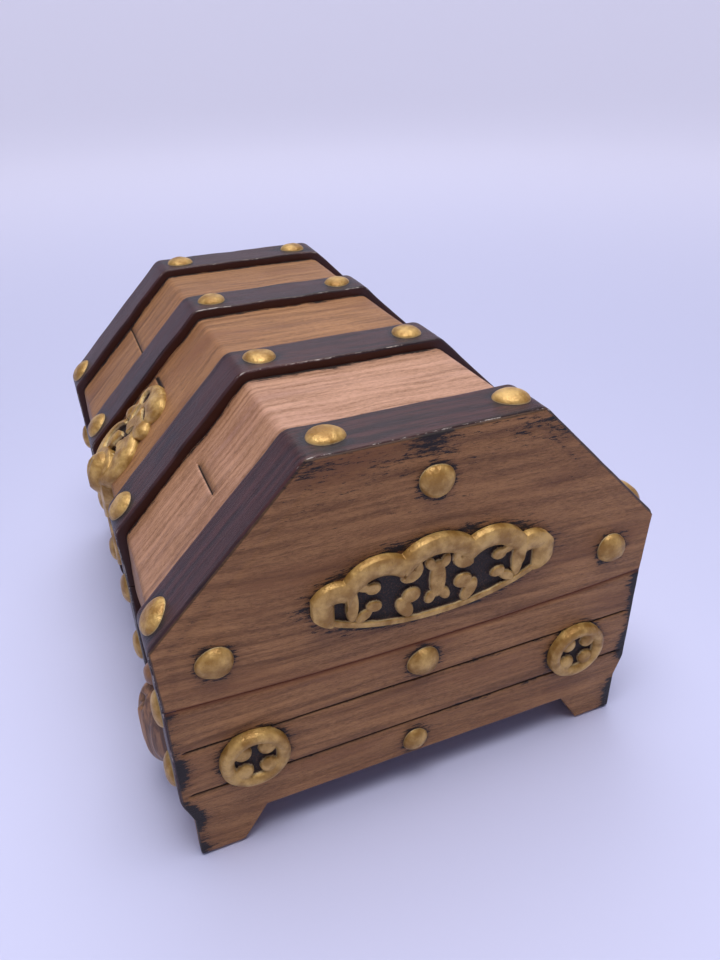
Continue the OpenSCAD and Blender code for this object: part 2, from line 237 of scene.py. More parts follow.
def closed_dome(rings):
    """Points and faces of a solid from rings of points (ring, angle, 3), from the middle out and down."""
    count, around = rings.shape[:2]
    points = np.concatenate([rings.reshape(-1, 3), rings[0].mean(axis=0)[None]])
    faces = []
    for ring in range(count - 1):
        for k in range(around):
            a, b = ring * around + k, ring * around + (k + 1) % around
            faces.append([a, b, b + around, a + around])
    faces += [[count * around, (k + 1) % around, k] for k in range(around)]
    faces.append([(count - 1) * around + k for k in range(around)])
    return points, faces


def circle(count):
    """Angles of points evenly round a circle."""
    return np.linspace(0, 2 * math.pi, count, endpoint=False)


def xyz(x, y, z):
    """Points from their coordinates."""
    return np.stack([x, y, z], axis=-1)


def ring(radius, height, around):
    """Points round a level circle. The radius may be one number or one for each point."""
    angles = circle(around)
    return xyz(radius * np.cos(angles), radius * np.sin(angles), np.full(around, height))


def turned(profile, radius, height, around):
    """A solid turned from a profile of (share of the radius, share of the height), from the middle out."""
    return closed_dome(np.array([ring(radius * out, height * up, around) for out, up in profile]))


def sweep(line, x_grid):
    """Grid of points whose rows lie on a line of (y, z) points, at the given x."""
    yz = np.repeat(line[:, None], x_grid.shape[1], axis=1)
    return np.concatenate([x_grid[..., None], yz], axis=-1)


def unit(vectors):
    """Directions of the vectors."""
    lengths = np.linalg.norm(vectors, axis=-1, keepdims=True)
    return vectors / np.maximum(lengths, 1e-6)


def place(local, origin, across, up, out):
    """Moves points from a face's own axes to the chest."""
    return np.asarray(origin) + np.asarray(local) @ np.array([across, up, out], dtype=float)


def end_axes(side):
    """Axes (across, up, out) of an end face."""
    return (0, 1, 0), (0, 0, 1), (side, 0, 0)


def side_name(side):
    return "right" if side > 0 else "left"


def settle(points):
    """The cast lid's waist: the middle of its back ridge lies further in than the ends."""
    middle = 1 - np.clip(points[..., 0] / END_X, -1, 1) ** 2
    height = smooth(points[..., 2], SHOULDER_Z - 10, TOP_Z)
    moved = points.copy()
    moved[..., 1] -= LID_WAIST * middle * height * smooth(points[..., 1], 0, TOP_Y)
    return moved


# ---- pieces ----

def add_piece(name, points, faces, body, slot, nodes, attributes, shade=50):
    """Makes a mesh object that rides on a body and stands for CAD nodes."""
    points = np.asarray(points)
    if body == "lid":
        points = settle(points)
    mesh = bpy.data.meshes.new(name)
    mesh.from_pydata((points / 1000).tolist(), [], faces)
    for key, values in attributes.items():
        vector = values.ndim > 1
        kind = "FLOAT_VECTOR" if vector else "FLOAT"
        layer = mesh.attributes.new(key, kind, "POINT")
        layer.data.foreach_set("vector" if vector else "value", values.astype(np.float32).ravel())
    cleaned = bmesh.new()
    cleaned.from_mesh(mesh)
    bmesh.ops.recalc_face_normals(cleaned, faces=cleaned.faces)
    cleaned.to_mesh(mesh)
    cleaned.free()
    piece = bpy.data.objects.new(name, mesh)
    bpy.context.collection.objects.link(piece)
    mesh.shade_smooth()
    mesh.set_sharp_from_angle(angle=math.radians(shade))
    mesh.materials.append(PAINTS[slot])
    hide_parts(*nodes)
    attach(piece, body)


def add_sheet(name, outer, inner, body, slot, nodes, attributes, shade=50):
    """Makes a piece from the solid between two grids, with attributes for the outer grid.

    The hidden grid has the same grain, 1 for "side" and 0 for the rest.
    """
    points, faces = closed_sheet(outer, inner)
    whole = {}
    for key, values in attributes.items():
        if key == "grain":
            whole[key] = np.concatenate([values, values]).reshape(-1, 3)
        else:
            hidden = np.full(values.size, 1.0 if key == "side" else 0.0)
            whole[key] = np.concatenate([values.ravel(), hidden])
    add_piece(name, points, faces, body, slot, nodes, whole, shade)


def add_relief(name, u, v, rise, pit, back, origin, axes, body, node):
    """Makes a gold ornament that rises from a flat at (u, v) and reaches back behind it."""
    outer = place(xyz(u, v, rise), origin, *axes)
    inner = place(xyz(u, v, np.full_like(u, -back)), origin, *axes)
    add_sheet(name, outer, inner, body, "gold_paint", [node], {"pit": pit}, CAST_CREASE)


def merge(parts):
    """Joins (points, faces, attributes) of several solids into one."""
    points, faces, start = [], [], 0
    for part in parts:
        points.append(part[0])
        faces += [[i + start for i in face] for face in part[1]]
        start += len(part[0])
    keys = parts[0][2].keys()
    attributes = {key: np.concatenate([part[2][key] for part in parts]) for key in keys}
    return np.concatenate(points), faces, attributes


# ---- paints ----

class Paint:
    """A node material under construction. Each method adds a node and returns its output."""

    def __init__(self, name, roughness, **settings):
        self.material = bpy.data.materials.new(name)
        self.material.use_nodes = True
        self.tree = self.material.node_tree
        self.shader = self.tree.nodes["Principled BSDF"]
        self.shader.inputs["Roughness"].default_value = roughness
        for key, value in settings.items():
            self.shader.inputs[key.replace("_", " ")].default_value = value

    def add(self, kind, inputs, output=0, **properties):
        made = self.tree.nodes.new(kind)
        for key, value in properties.items():
            setattr(made, key, value)
        for key, value in inputs.items():
            if isinstance(value, bpy.types.NodeSocket):
                self.tree.links.new(value, made.inputs[key])
            else:
                made.inputs[key].default_value = value
        return made.outputs[output]

    def attribute(self, name):
        output = "Vector" if name == "grain" else "Fac"
        return self.add("ShaderNodeAttribute", {}, output, attribute_name=name)

    def position(self):
        """Place on the object in millimetres."""
        spot = self.add("ShaderNodeTexCoord", {}, "Object")
        return self.stretch(spot, (1000, 1000, 1000))

    def stretch(self, vector, scale):
        return self.add("ShaderNodeMapping", {"Vector": vector, "Scale": scale})

    def noise(self, vector, scale=1.0, detail=4.0, roughness=0.55, distortion=0.0):
        inputs = {"Vector": vector, "Scale": scale, "Detail": detail, "Roughness": roughness,
                  "Distortion": distortion}
        return self.add("ShaderNodeTexNoise", inputs, "Fac")

    def strokes(self, grain, along, across, **settings):
        """Noise with this many bumps a millimetre along and across the grain."""
        return self.noise(self.stretch(grain, (along, across, across)), **settings)

    def math(self, operation, a, b=0.0):
        return self.add("ShaderNodeMath", {0: a, 1: b}, operation=operation)

    def plus(self, value, other, weight=1.0):
        """A value with another one added, times its weight."""
        if weight != 1.0:
            other = self.math("MULTIPLY", other, weight)
        return self.math("ADD", value, other)

    def blend(self, a, b, share):
        """Two values in one, with this share of the second."""
        return self.plus(self.math("MULTIPLY", a, 1 - share), b, share)

    def step(self, value, low, high):
        """0 below low and 1 above high."""
        inputs = {"Value": value, "From Min": low, "From Max": high}
        return self.add("ShaderNodeMapRange", inputs, interpolation_type="SMOOTHSTEP")

    def between(self, value, low, high):
        inputs = {"Value": value, "To Min": low, "To Max": high}
        return self.add("ShaderNodeMapRange", inputs)

    def mix(self, factor, a, b):
        inputs = {"Factor": factor, 6: a, 7: b}
        return self.add("ShaderNodeMix", inputs, 2, data_type="RGBA")

    def cover(self, colour, value, low, high, over, most=1.0):
        """A colour with another one over it where the value is high, at most this thick."""
        thick = self.step(value, low, high)
        if most < 1.0:
            thick = self.between(thick, 0, most)
        return self.mix(thick, colour, over)

    def finish(self, colour, height=None, depth=0.2, **sockets):
        """Wires the colour, a bump of this depth in millimetres, and sockets such as Roughness."""
        self.tree.links.new(colour, self.shader.inputs["Base Color"])
        for name, value in sockets.items():
            self.tree.links.new(value, self.shader.inputs[name])
        if height is not None:
            inputs = {"Height": height, "Distance": depth / 1000}
            normal = self.add("ShaderNodeBump", inputs)
            self.tree.links.new(normal, self.shader.inputs["Normal"])
        return self.material


def rgb(red, green, blue):
    """A screen colour from 0 to 255 as linear RGBA."""
    def linear(value):
        value /= 255
        return value / 12.92 if value <= 0.04045 else ((value + 0.055) / 1.055) ** 2.4
    return (linear(red), linear(green), linear(blue), 1.0)


def board_paint():
    """Tan paint laid on with a dry brush over a darker coat, paler on top from a painted sheen, with black
    left in the hollows and painted shade where the grime attribute asks.
    """
    paint = Paint("board_paint", 0.5, Specular_IOR_Level=0.3, Coat_Weight=0.06, Coat_Roughness=0.3)
    grain = paint.attribute("grain")
    grime_and_shade = paint.attribute("grime_and_shade")
    broad = paint.strokes(grain, 0.02, 0.06, detail=3)
    streak = paint.strokes(grain, 0.03, 0.45, detail=8, roughness=0.62, distortion=0.25)
    fine = paint.strokes(grain, 0.5, 3.2, detail=7, roughness=0.8)
    band = paint.strokes(grain, 0.014, 0.22, detail=6, roughness=0.62)
    dust = paint.strokes(grain, 1.2, 3.6, detail=5, roughness=0.8)
    stroke = paint.strokes(grain, 0.2, 1.15, detail=8, roughness=0.8)
    tone = paint.blend(streak, fine, 0.55)
    coat, tan, patch, shade = rgb(110, 72, 38), rgb(178, 128, 80), rgb(132, 86, 50), rgb(82, 46, 20)
    colour = paint.cover(coat, tone, 0.36, 0.62, tan)
    colour = paint.cover(colour, broad, 0.45, 0.8, patch)
    # Shade colour where random bands lie, and where the grime attribute asks: black paint, and painted shade
    # by the straps and on the far lid panels.
    shaded = paint.plus(paint.between(paint.step(band, 0.5, 0.72), 0, 0.55), grime_and_shade, 0.45)
    colour = paint.mix(shaded, colour, shade)
    # Painted sheen: faces that look up turn a pale rose tan, as much as the pale attribute asks, which is
    # most at the lamp end of the lid.
    facing = paint.add("ShaderNodeNewGeometry", {}, "Normal")
    upward = paint.step(paint.add("ShaderNodeSeparateXYZ", {"Vector": facing}, "Z"), 0.35, 1.0)
    pale = paint.math("MULTIPLY", upward, paint.math("MULTIPLY", paint.attribute("pale"), 0.5))
    sheen_on_strokes = paint.math("MULTIPLY", paint.step(tone, 0.34, 0.6), pale)
    sheen_rose, speck, black = rgb(214, 172, 158), rgb(50, 29, 18), rgb(28, 19, 17)
    groove, amber = rgb(28, 16, 12), rgb(116, 62, 26)
    colour = paint.mix(sheen_on_strokes, colour, sheen_rose)
    colour = paint.cover(colour, dust, 0.56, 0.68, speck, 0.65)
    colour = paint.cover(colour, paint.plus(stroke, grime_and_shade, 0.27), 0.68, 0.73, black)
    # Dark board joints, and the thin line along the end faces' outline, which is partly painted shadow.
    colour = paint.cover(colour, paint.attribute("groove"), 0.2, 0.7, groove)
    colour = paint.mix(paint.attribute("amber"), colour, amber)
    return paint.finish(colour, tone, 0.35, Roughness=paint.between(streak, 0.45, 0.62))


def strap_paint():
    """Dark plum-brown varnish with strokes along the strap, and lighter edges that are part paint wear and
    part painted highlight.
    """
    paint = Paint("strap_paint", 0.36, Specular_IOR_Level=0.34)
    grain = paint.attribute("grain")
    streak = paint.strokes(grain, 0.025, 0.6, detail=8, roughness=0.65, distortion=0.2)
    fine = paint.strokes(grain, 0.2, 2.8, detail=5, roughness=0.7)
    patch = paint.strokes(grain, 0.05, 0.12, detail=6, roughness=0.7)
    chip = paint.strokes(grain, 0.12, 0.5, detail=7, roughness=0.8)
    tone = paint.blend(streak, fine, 0.4)
    dark, plum, soot, side, bare_and_highlight = (
        rgb(32, 18, 19), rgb(72, 42, 41), rgb(26, 22, 28), rgb(52, 20, 10), rgb(176, 166, 156))
    colour = paint.cover(dark, tone, 0.38, 0.62, plum)
    sooty = paint.plus(patch, paint.attribute("grime_and_shade"), 0.28)
    colour = paint.cover(colour, sooty, 0.56, 0.72, soot, 0.85)
    colour = paint.cover(colour, paint.attribute("side"), 0.1, 0.55, side)
    # Pale edge line: part paint rubbed off at the edge, part painted highlight.
    worn_and_highlit = paint.math("MULTIPLY", paint.attribute("edge"), paint.step(chip, 0.44, 0.6))
    colour = paint.cover(colour, worn_and_highlit, 0.35, 0.95, bare_and_highlight)
    return paint.finish(colour, tone, 0.3, Roughness=paint.between(streak, 0.3, 0.45))


def gold_paint():
    """Satin gold paint over relief, with a dark wash left in the pits and a pale line of glaze round them."""
    paint = Paint("gold_paint", 0.34)
    place_mm = paint.position()
    broad = paint.noise(place_mm, 0.22, detail=5)
    fine = paint.noise(place_mm, 2.2, detail=5, roughness=0.7)
    dark, light, tarnish = rgb(150, 110, 50), rgb(204, 166, 98), rgb(112, 78, 34)
    glaze, brown = rgb(178, 156, 112), rgb(70, 44, 30)
    colour = paint.cover(dark, broad, 0.35, 0.7, light)
    colour = paint.cover(colour, fine, 0.56, 0.74, tarnish, 0.6)
    wash = paint.plus(paint.attribute("pit"), paint.between(fine, -0.2, 0.2))
    colour = paint.cover(colour, wash, 0.1, 0.24, glaze, 0.8)
    colour = paint.cover(colour, wash, 0.42, 0.62, brown)
    recess = paint.cover(rgb(24, 16, 13), fine, 0.5, 0.66, rgb(84, 54, 34))
    colour = paint.cover(colour, wash, 0.66, 0.9, recess)
    clean = paint.math("SUBTRACT", 1.0, paint.step(wash, 0.3, 0.7))
    rough = paint.plus(paint.between(fine, 0.32, 0.5), paint.between(clean, 0.3, 0.0))
    metal = paint.math("MULTIPLY", clean, 0.38)
    return paint.finish(colour, paint.noise(place_mm, 0.9, detail=6), 0.3, Roughness=rough, Metallic=metal)


def plain_paint(name, dark, light, scale, depth, roughness, **settings):
    """Mottled one-colour finish for moulded parts."""
    paint = Paint(name, roughness, **settings)
    place_mm = paint.position()
    broad = paint.noise(place_mm, scale, detail=6)
    fine = paint.noise(place_mm, scale * 8, detail=3)
    colour = paint.cover(rgb(*dark), broad, 0.3, 0.7, rgb(*light))
    return paint.finish(colour, fine, depth, Roughness=paint.between(fine, roughness * 0.8, roughness * 1.25))


def handle_paint():
    """Brown streaks down the fluted handle and a tan knob over it."""
    paint = Paint("handle_paint", 0.4, Coat_Weight=0.2, Coat_Roughness=0.3)
    streak = paint.strokes(paint.attribute("grain"), 0.06, 0.8, detail=6, roughness=0.65)
    colour = paint.cover(rgb(92, 60, 38), streak, 0.36, 0.64, rgb(162, 116, 76))
    colour = paint.mix(paint.attribute("edge"), colour, rgb(132, 92, 60))
    colour = paint.mix(paint.attribute("pit"), colour, rgb(22, 15, 13))
    return paint.finish(colour, streak, 0.3)


def make_paints():
    """Every finish by its slot name."""
    # dark and light colour, bumps a millimetre, depth of the bumps, roughness, other settings
    plain = {
        "hinge_plastic": ((34, 26, 26), (58, 44, 42), 0.3, 0.15, 0.4, {}),
        "pin_brass": ((150, 112, 52), (196, 158, 88), 0.8, 0.05, 0.28, {"Metallic": 1.0}),
        "grommet_rubber": ((20, 20, 21), (38, 38, 40), 0.6, 0.1, 0.6, {}),
        "inlet_plastic": ((30, 31, 33), (46, 47, 50), 0.5, 0.04, 0.32, {}),
        "tube_silicone": ((196, 208, 204), (222, 230, 226), 0.4, 0.03, 0.2, {"Transmission_Weight": 0.5}),
        "nipple_plastic": ((210, 210, 204), (232, 232, 228), 0.5, 0.04, 0.35, {}),
        "stone_mineral": ((104, 112, 120), (168, 176, 182), 2.2, 0.5, 0.9, {}),
        "tray_plastic": ((66, 44, 34), (96, 68, 52), 0.25, 0.2, 0.5, {}),
        "coin_paint": ((150, 106, 36), (214, 170, 82), 0.35, 0.2, 0.32, {"Metallic": 0.6}),
        "gem_plastic": ((120, 14, 34), (176, 30, 58), 0.2, 0.02, 0.08, {"Coat_Weight": 0.6}),
        "pearl_plastic": ((222, 214, 200), (242, 238, 230), 0.4, 0.02, 0.18, {"Sheen_Weight": 0.3}),
    }
    paints = {name: plain_paint(name, *values, **settings) for name, (*values, settings) in plain.items()}
    paints["board_paint"] = board_paint()
    paints["strap_paint"] = strap_paint()
    paints["gold_paint"] = gold_paint()
    paints["handle_paint"] = handle_paint()
    return paints


PAINTS = make_paints()


# ---- boards ----

def lid_corners(inset, low_z, lean=0.0):
    """Outline of the lid in Y and Z from the front foot over the top to the back foot."""
    half = [
        (SHOULDER_Y - lean - inset, low_z),
        (SHOULDER_Y - inset, SHOULDER_Z - inset * math.cos(SLOPE) / (1 + math.sin(SLOPE))),
        (TOP_Y - inset * math.sin(SLOPE) / (1 + math.cos(SLOPE)), TOP_Z - inset),
    ]
    return [(-y, z) for y, z in half] + [(y, z) for y, z in reversed(half)]


def strap_soot_and_shade(x):
    """Black paint beside the straps, with painted shade at their feet."""
    gap = np.min([np.abs(np.abs(x - centre) - STRAP_W / 2) for centre in STRAP_X], axis=0)
    return np.exp(-gap / SOOT)


def lid_boards():
    """The lid's walls, slopes and top between the ends, in one cast sheet."""
    outer_corners = lid_corners(STRAP_T, LID_Z)
    fractions = shares(outer_corners, ROW)
    slope_rows = spread(0, SLOPE_LENGTH, ROW, near=SLOPE_FINE) / SLOPE_LENGTH
    fractions[1] = slope_rows
    fractions[3] = 1 - slope_rows[::-1]
    fractions[2] = spread(0, 2 * TOP_Y, ROW, near=TOP_FINE) / (2 * TOP_Y)
    outer_line = path(outer_corners, 1.6, fractions)
    inner_line = path(lid_corners(STRAP_T + WALL, LID_Z), 1.6, fractions)
    along = run_length(outer_line)
    xs = spread(-END_X + WALL - TUCK, END_X - WALL + TUCK, COLUMN)
    along_grid, x_grid = np.meshgrid(along, xs, indexing="ij")
    outer = sweep(outer_line, x_grid)
    inner = sweep(inner_line, x_grid)
    groove = np.zeros_like(x_grid)
    for low, high, distance in LID_JOINTS:
        start = SHOULDER_Z - LID_Z + distance - CORNER_CUT
        nearest = along[np.argmin(np.abs(along - start))]
        window = smooth(x_grid, low, low + 2) * (1 - smooth(x_grid, high - 2, high))
        groove = np.maximum(groove, np.exp(-((along_grid - nearest) / GROOVE_W) ** 2) * window)
    swell = 0.35 * noise(outer, 14, 1) + 0.12 * noise(outer * (0.3, 1, 1), 3, 2)
    sunk = outer + unit(inner - outer) * (swell + GROOVE_DEPTH * groove)[..., None]
    # Near end of the lid, by the lamp: more painted sheen there, and painted shade on the far panels.
    near = smooth(x_grid, STRAP_X[2], STRAP_X[2] + 18)
    # Black paint and painted shade at the feet of the straps.
    grime_and_shade = strap_soot_and_shade(x_grid) * (1.25 + 0.6 * noise(sunk, 6, 8))
    attributes = {
        "grain": xyz(along_grid, x_grid, np.zeros_like(x_grid)),
        # Painted shade darkens the panels away from the near end.
        "grime_and_shade": np.maximum(grime_and_shade, 0.3 * (1 - near)),
        "groove": groove,
        "amber": np.zeros_like(groove),
        # How much painted sheen each panel gets, most at the near end.
        "pale": 0.15 + 0.85 * near,
    }
    add_sheet("lid_boards", sunk, inner, "lid", "board_paint", ["lid_shell"], attributes)


def edge_distance(y, z, corners):
    """Distance from the nearest straight of an outline, as if each were endless."""
    result = np.full(np.shape(y), 1e9)
    for (y0, z0), (y1, z1) in zip(corners, corners[1:]):
        length = math.hypot(y1 - y0, z1 - z0)
        away = np.abs((y1 - y0) * (z - z0) - (z1 - z0) * (y - y0)) / length
        result = np.minimum(result, away)
    return result


def halo(y, z, spots):
    """Black paint round studs and ornaments: spots are (y, z, half width, half height)."""
    total = np.zeros_like(y)
    for spot_y, spot_z, wide, high in spots:
        radius = np.hypot((y - spot_y) / wide, (z - spot_z) / high)
        total = np.maximum(total, np.exp(-np.maximum(radius - 1, 0) * min(wide, high) / 2.4))
    return total


def end_spots(nodes, side):
    """Places of the ornaments that lie on one end face."""
    spots = []
    for name in nodes:
        for island in cad_islands(name):
            low, high = island.min(axis=0), island.max(axis=0)
            if (low[0] if side > 0 else -high[0]) > END_X - 1:
                middle, half = (low + high) / 2, (high - low) / 2
                spots.append((middle[1], middle[2], half[1], half[2]))
    return spots


def seam_drop(y):
    """How far the joint hangs below its level on the end faces."""
    return SEAM_SAG * (1 - np.clip(y / SHOULDER_Y, -1, 1) ** 2)


def on_face(y, z):
    """Places on an end face as points, for noise."""
    return xyz(y, z, 0 * y)


def edge_shadow(distance):
    """A thin dark line along the outline of an end face: painted shadow of the gap by the strap, and dark
    paint on the edge.
    """
    return 0.55 * (1 - smooth(distance, 0.25, 0.75))


def end_board(part, side, y, z, drop, seam, grime_and_shade, groove):
    """A thick end wall of the lid or base over grids of y and z.

    drop is how far its face lies in from the end, and seam the distance from the joint below the lid.
    """
    face = END_X - 0.1 - drop - fillet(seam, SEAM_EDGE)
    outer = xyz(side * face, y, z)
    inner = xyz(np.full_like(y, side * (END_X - WALL)), y, z)
    outer[..., 0] += side * (0.12 * noise(outer, 16, side) + 0.05 * noise(outer * (1, 0.3, 1), 2.5, 7))
    tilt = z + 0.04 * y + 1.5 * noise(on_face(y, z), 40, 3)
    attributes = {
        "grain": xyz(y, tilt, np.full_like(y, 31.0 * side)),
        "grime_and_shade": grime_and_shade,
        "groove": groove,
        "amber": smooth(0.9 - seam, 0, 0.6),
    }
    name = f"{part}_end_{side_name(side)}"
    add_sheet(name, outer, inner, part, "board_paint", [f"{part}_shell"], attributes)


def edge_shares(near=()):
    """Shares from -1 to 1 across an end face, closer together at its two edges."""
    close = np.array([0.979, 0.986, 0.991, 0.9945, 0.9975])
    middle = spread(-0.97, 0.97, 0.0145, near=near, fine=(0,))
    return np.concatenate([[-1], -close[::-1], middle, close, [1]])


def lid_end(side):
    """One end of the lid, with a faint line that runs round inside its outline."""
    corners = lid_corners(RIM, LID_Z, SHOULDER_Y - SEAM_Y)
    half = np.array(corners[3:])[::-1]
    top = TOP_Z - RIM
    near_top = top - np.array([0.9, 0.5, 0.25, 0.08, 0])
    rows = np.concatenate([spread(LID_Z, top - 1.4, END_ROW, near=(LID_Z + 0.6,)), near_top])
    width = np.interp(rows, half[:, 1], half[:, 0])
    share, z = np.meshgrid(edge_shares(), rows)
    y = share * width[:, None]
    z = z - seam_drop(y) * (1 - smooth(z, LID_Z, LID_Z + 20))
    sides = edge_distance(y, z, corners)
    seam = z - (LID_Z - seam_drop(y))
    inner_line = 0.18 * np.exp(-((sides - 5) / 0.9) ** 2) * smooth(z, SHOULDER_Z - 4, SHOULDER_Z + 6)
    drop = fillet(sides, END_EDGE) + inner_line
    patchy = 0.55 + 0.6 * noise(on_face(y, z), 14, 5)
    grime_and_shade = np.maximum.reduce([
        0.95 * halo(y, z, end_spots(["lid_studs", f"end_plate_{side_name(side)}"], side)),
        # Darker near the top of the end face.
        patchy * np.exp(-np.maximum(TOP_Z - z - 4, 0) / 9),
        0.7 * patchy * np.exp(-np.abs(sides - 4) / 2),
        # Darker towards the top of the end face.
        0.4 * smooth(z, SHOULDER_Z, TOP_Z - 5),
    ])
    shadow = edge_shadow(sides)
    end_board("lid", side, y, z, drop, seam, grime_and_shade, shadow)


def arch_height(distance, half):
    """Height of the underside at this distance from the middle of an arch."""
    return ARCH_Z * (1 - np.clip((np.abs(distance) - half) / ARCH_SLANT, 0, 1))


def base_end(side):
    """One end of the base: three boards over two feet with an arch between them."""
    rows = spread(0, SEAM_Z, END_ROW, near=BOARD_JOINTS)
    columns = edge_shares([s * (END_ARCH + k) / SEAM_Y for s in (-1, 1) for k in (0, ARCH_SLANT)])
    share, level = np.meshgrid(columns, rows)
    width = np.interp(rows, [0, STRAP_FOOT_Z, STRAP_FOOT_Z + BEVEL_H], [CORE_Y, CORE_Y, SEAM_Y - RIM])
    y = share * width[:, None]
    side_gap = width[:, None] - np.abs(y)
    floor = arch_height(share * SEAM_Y, END_ARCH)
    blend = ARCH_Z + 3
    z = np.where(level < blend, floor + level / blend * (blend - floor), level)
    z = z - seam_drop(y) * smooth(level, BOARD_JOINTS[1] - 2, SEAM_Z)
    patchy = 0.9 + 0.7 * noise(on_face(y, z), 9, 6)
    ornaments = ["base_studs", f"rosette_{side_name(side)}_front", f"rosette_{side_name(side)}_back"]
    grime_and_shade = halo(y, z, end_spots(ornaments, side))
    grime_and_shade = np.maximum(grime_and_shade, 1.35 * patchy * np.exp(-np.maximum(side_gap - 1, 0) / 3))
    groove = np.zeros_like(y)
    for joint in BOARD_JOINTS:
        groove = np.maximum(groove, np.exp(-((level - joint) / 0.4) ** 2) * smooth(side_gap, 1.5, 3.5))
        grime_and_shade = np.maximum(grime_and_shade, 0.75 * patchy * np.exp(-np.abs(level - joint) / 1.5))
    drop = fillet(side_gap, END_EDGE) + fillet(z - floor, 0.9) + groove
    seam = SEAM_Z - seam_drop(y) - z
    shadow = np.maximum(groove, edge_shadow(side_gap))
    end_board("base", side, y, z, drop, seam, grime_and_shade, shadow)


def base_walls():
    """The base's front, floor and back between the ends, in one cast sheet."""
    outer_corners = [(-CORE_Y, SEAM_Z), (-CORE_Y, ARCH_Z), (CORE_Y, ARCH_Z), (CORE_Y, SEAM_Z)]
    inside = CORE_Y - WALL
    inner_corners = [(-inside, SEAM_Z), (-inside, ARCH_Z + WALL), (inside, ARCH_Z + WALL), (inside, SEAM_Z)]
    height = SEAM_Z - ARCH_Z
    down = spread(0, height, 2, near=[SEAM_Z - z for z in BOARD_JOINTS]) / height
    fractions = shares(outer_corners, 3)
    fractions[0] = down
    fractions[2] = 1 - down[::-1]
    outer_line = path(outer_corners, 1.2, fractions)
    xs = spread(-END_X + WALL - TUCK, END_X - WALL + TUCK, 2)
    x_grid = np.repeat(xs[None], len(outer_line), axis=0)
    outer = sweep(outer_line, x_grid)
    inner = sweep(path(inner_corners, 1.2, fractions), x_grid)
    y_grid, z_grid = outer[..., 1].copy(), outer[..., 2]
    upright = np.abs(y_grid) > CORE_Y - 0.01
    groove = np.zeros_like(x_grid)
    for joint in BOARD_JOINTS:
        groove = np.maximum(groove, np.exp(-((z_grid - joint) / GROOVE_W) ** 2) * upright)
    outer[..., 1] -= np.sign(y_grid) * upright * (0.3 + 0.25 * noise(outer, 14, 4) + GROOVE_DEPTH * groove)
    attributes = {
        "grain": xyz(x_grid, z_grid + y_grid, y_grid),
        # Black paint and painted shade beside the straps, and darker towards the bottom of the walls.
        "grime_and_shade": np.maximum(0.8 * strap_soot_and_shade(x_grid), 0.5 * np.exp(-np.maximum(z_grid - ARCH_Z, 0) / 3)),
        "groove": groove,
        "amber": np.zeros_like(groove),
    }
    add_sheet("base_boards", outer, inner, "base", "board_paint", ["base_shell"], attributes)


def foot(sx, sy):
    """One corner foot behind the end boards, narrower at the ground."""
    outer_x, outer_y = END_X - WALL + TUCK, CORE_Y - 0.3
    levels = []
    for t in np.linspace(1, 0, 9):
        z = t * (ARCH_Z + 0.5)
        shrink = fillet(z, 0.8)
        x = FRONT_ARCH + ARCH_SLANT * (1 - t) + shrink
        y = END_ARCH + ARCH_SLANT * (1 - t) + shrink
        ring = [(x, y), (outer_x, y), (outer_x, outer_y - shrink), (x, outer_y - shrink)]
        levels.append([(sx * ring_x, sy * ring_y, z) for ring_x, ring_y in ring])
    points, faces = closed_dome(np.array(levels))
    none = np.zeros(len(points))
    attributes = {
        "grain": points[:, [0, 2, 1]],
        # Darker towards the ground.
        "grime_and_shade": 0.6 * np.exp(-np.abs(points[:, 2]) / 4),
        "groove": none,
        "amber": none,
    }
    return points, faces, attributes


def base_feet():
    """The four corner feet."""
    feet = [foot(sx, sy) for sx, sy in itertools.product((-1, 1), repeat=2)]
    points, faces, attributes = merge(feet)
    add_piece("base_feet", points, faces, "base", "board_paint", ["base_shell"], attributes)


# ---- straps ----

def stud_soot(points, body, x):
    """Black paint round the studs of the strap at x."""
    soot = np.zeros(points.shape[:-1])
    for island in cad_islands(f"{body}_studs"):
        if abs(island[0][0] - x) < STRAP_W:
            reach = np.linalg.norm(points - island.mean(axis=0), axis=-1)
            soot = np.maximum(soot, np.exp(-np.maximum(reach - STUD_R, 0) / SOOT))
    return soot


def strap_wear_and_highlight(height, across, width):
    """How strong the pale line on a strap's edges is, part paint wear and part painted highlight: most on the
    level top and the walls, and along the right edge.
    """
    distance = np.minimum(across, width - across)
    ridge = np.exp(-((distance - 0.2) / 0.16) ** 2) * np.where(across > width / 2, 1.0, 0.6)
    level = np.abs(height - TOP_Z) < 2.5
    wall = (height < SHOULDER_Z + 1) & (height > STRAP_FOOT_Z + BEVEL_H)
    return ridge * np.where(level | wall, 1.0, 0.3)


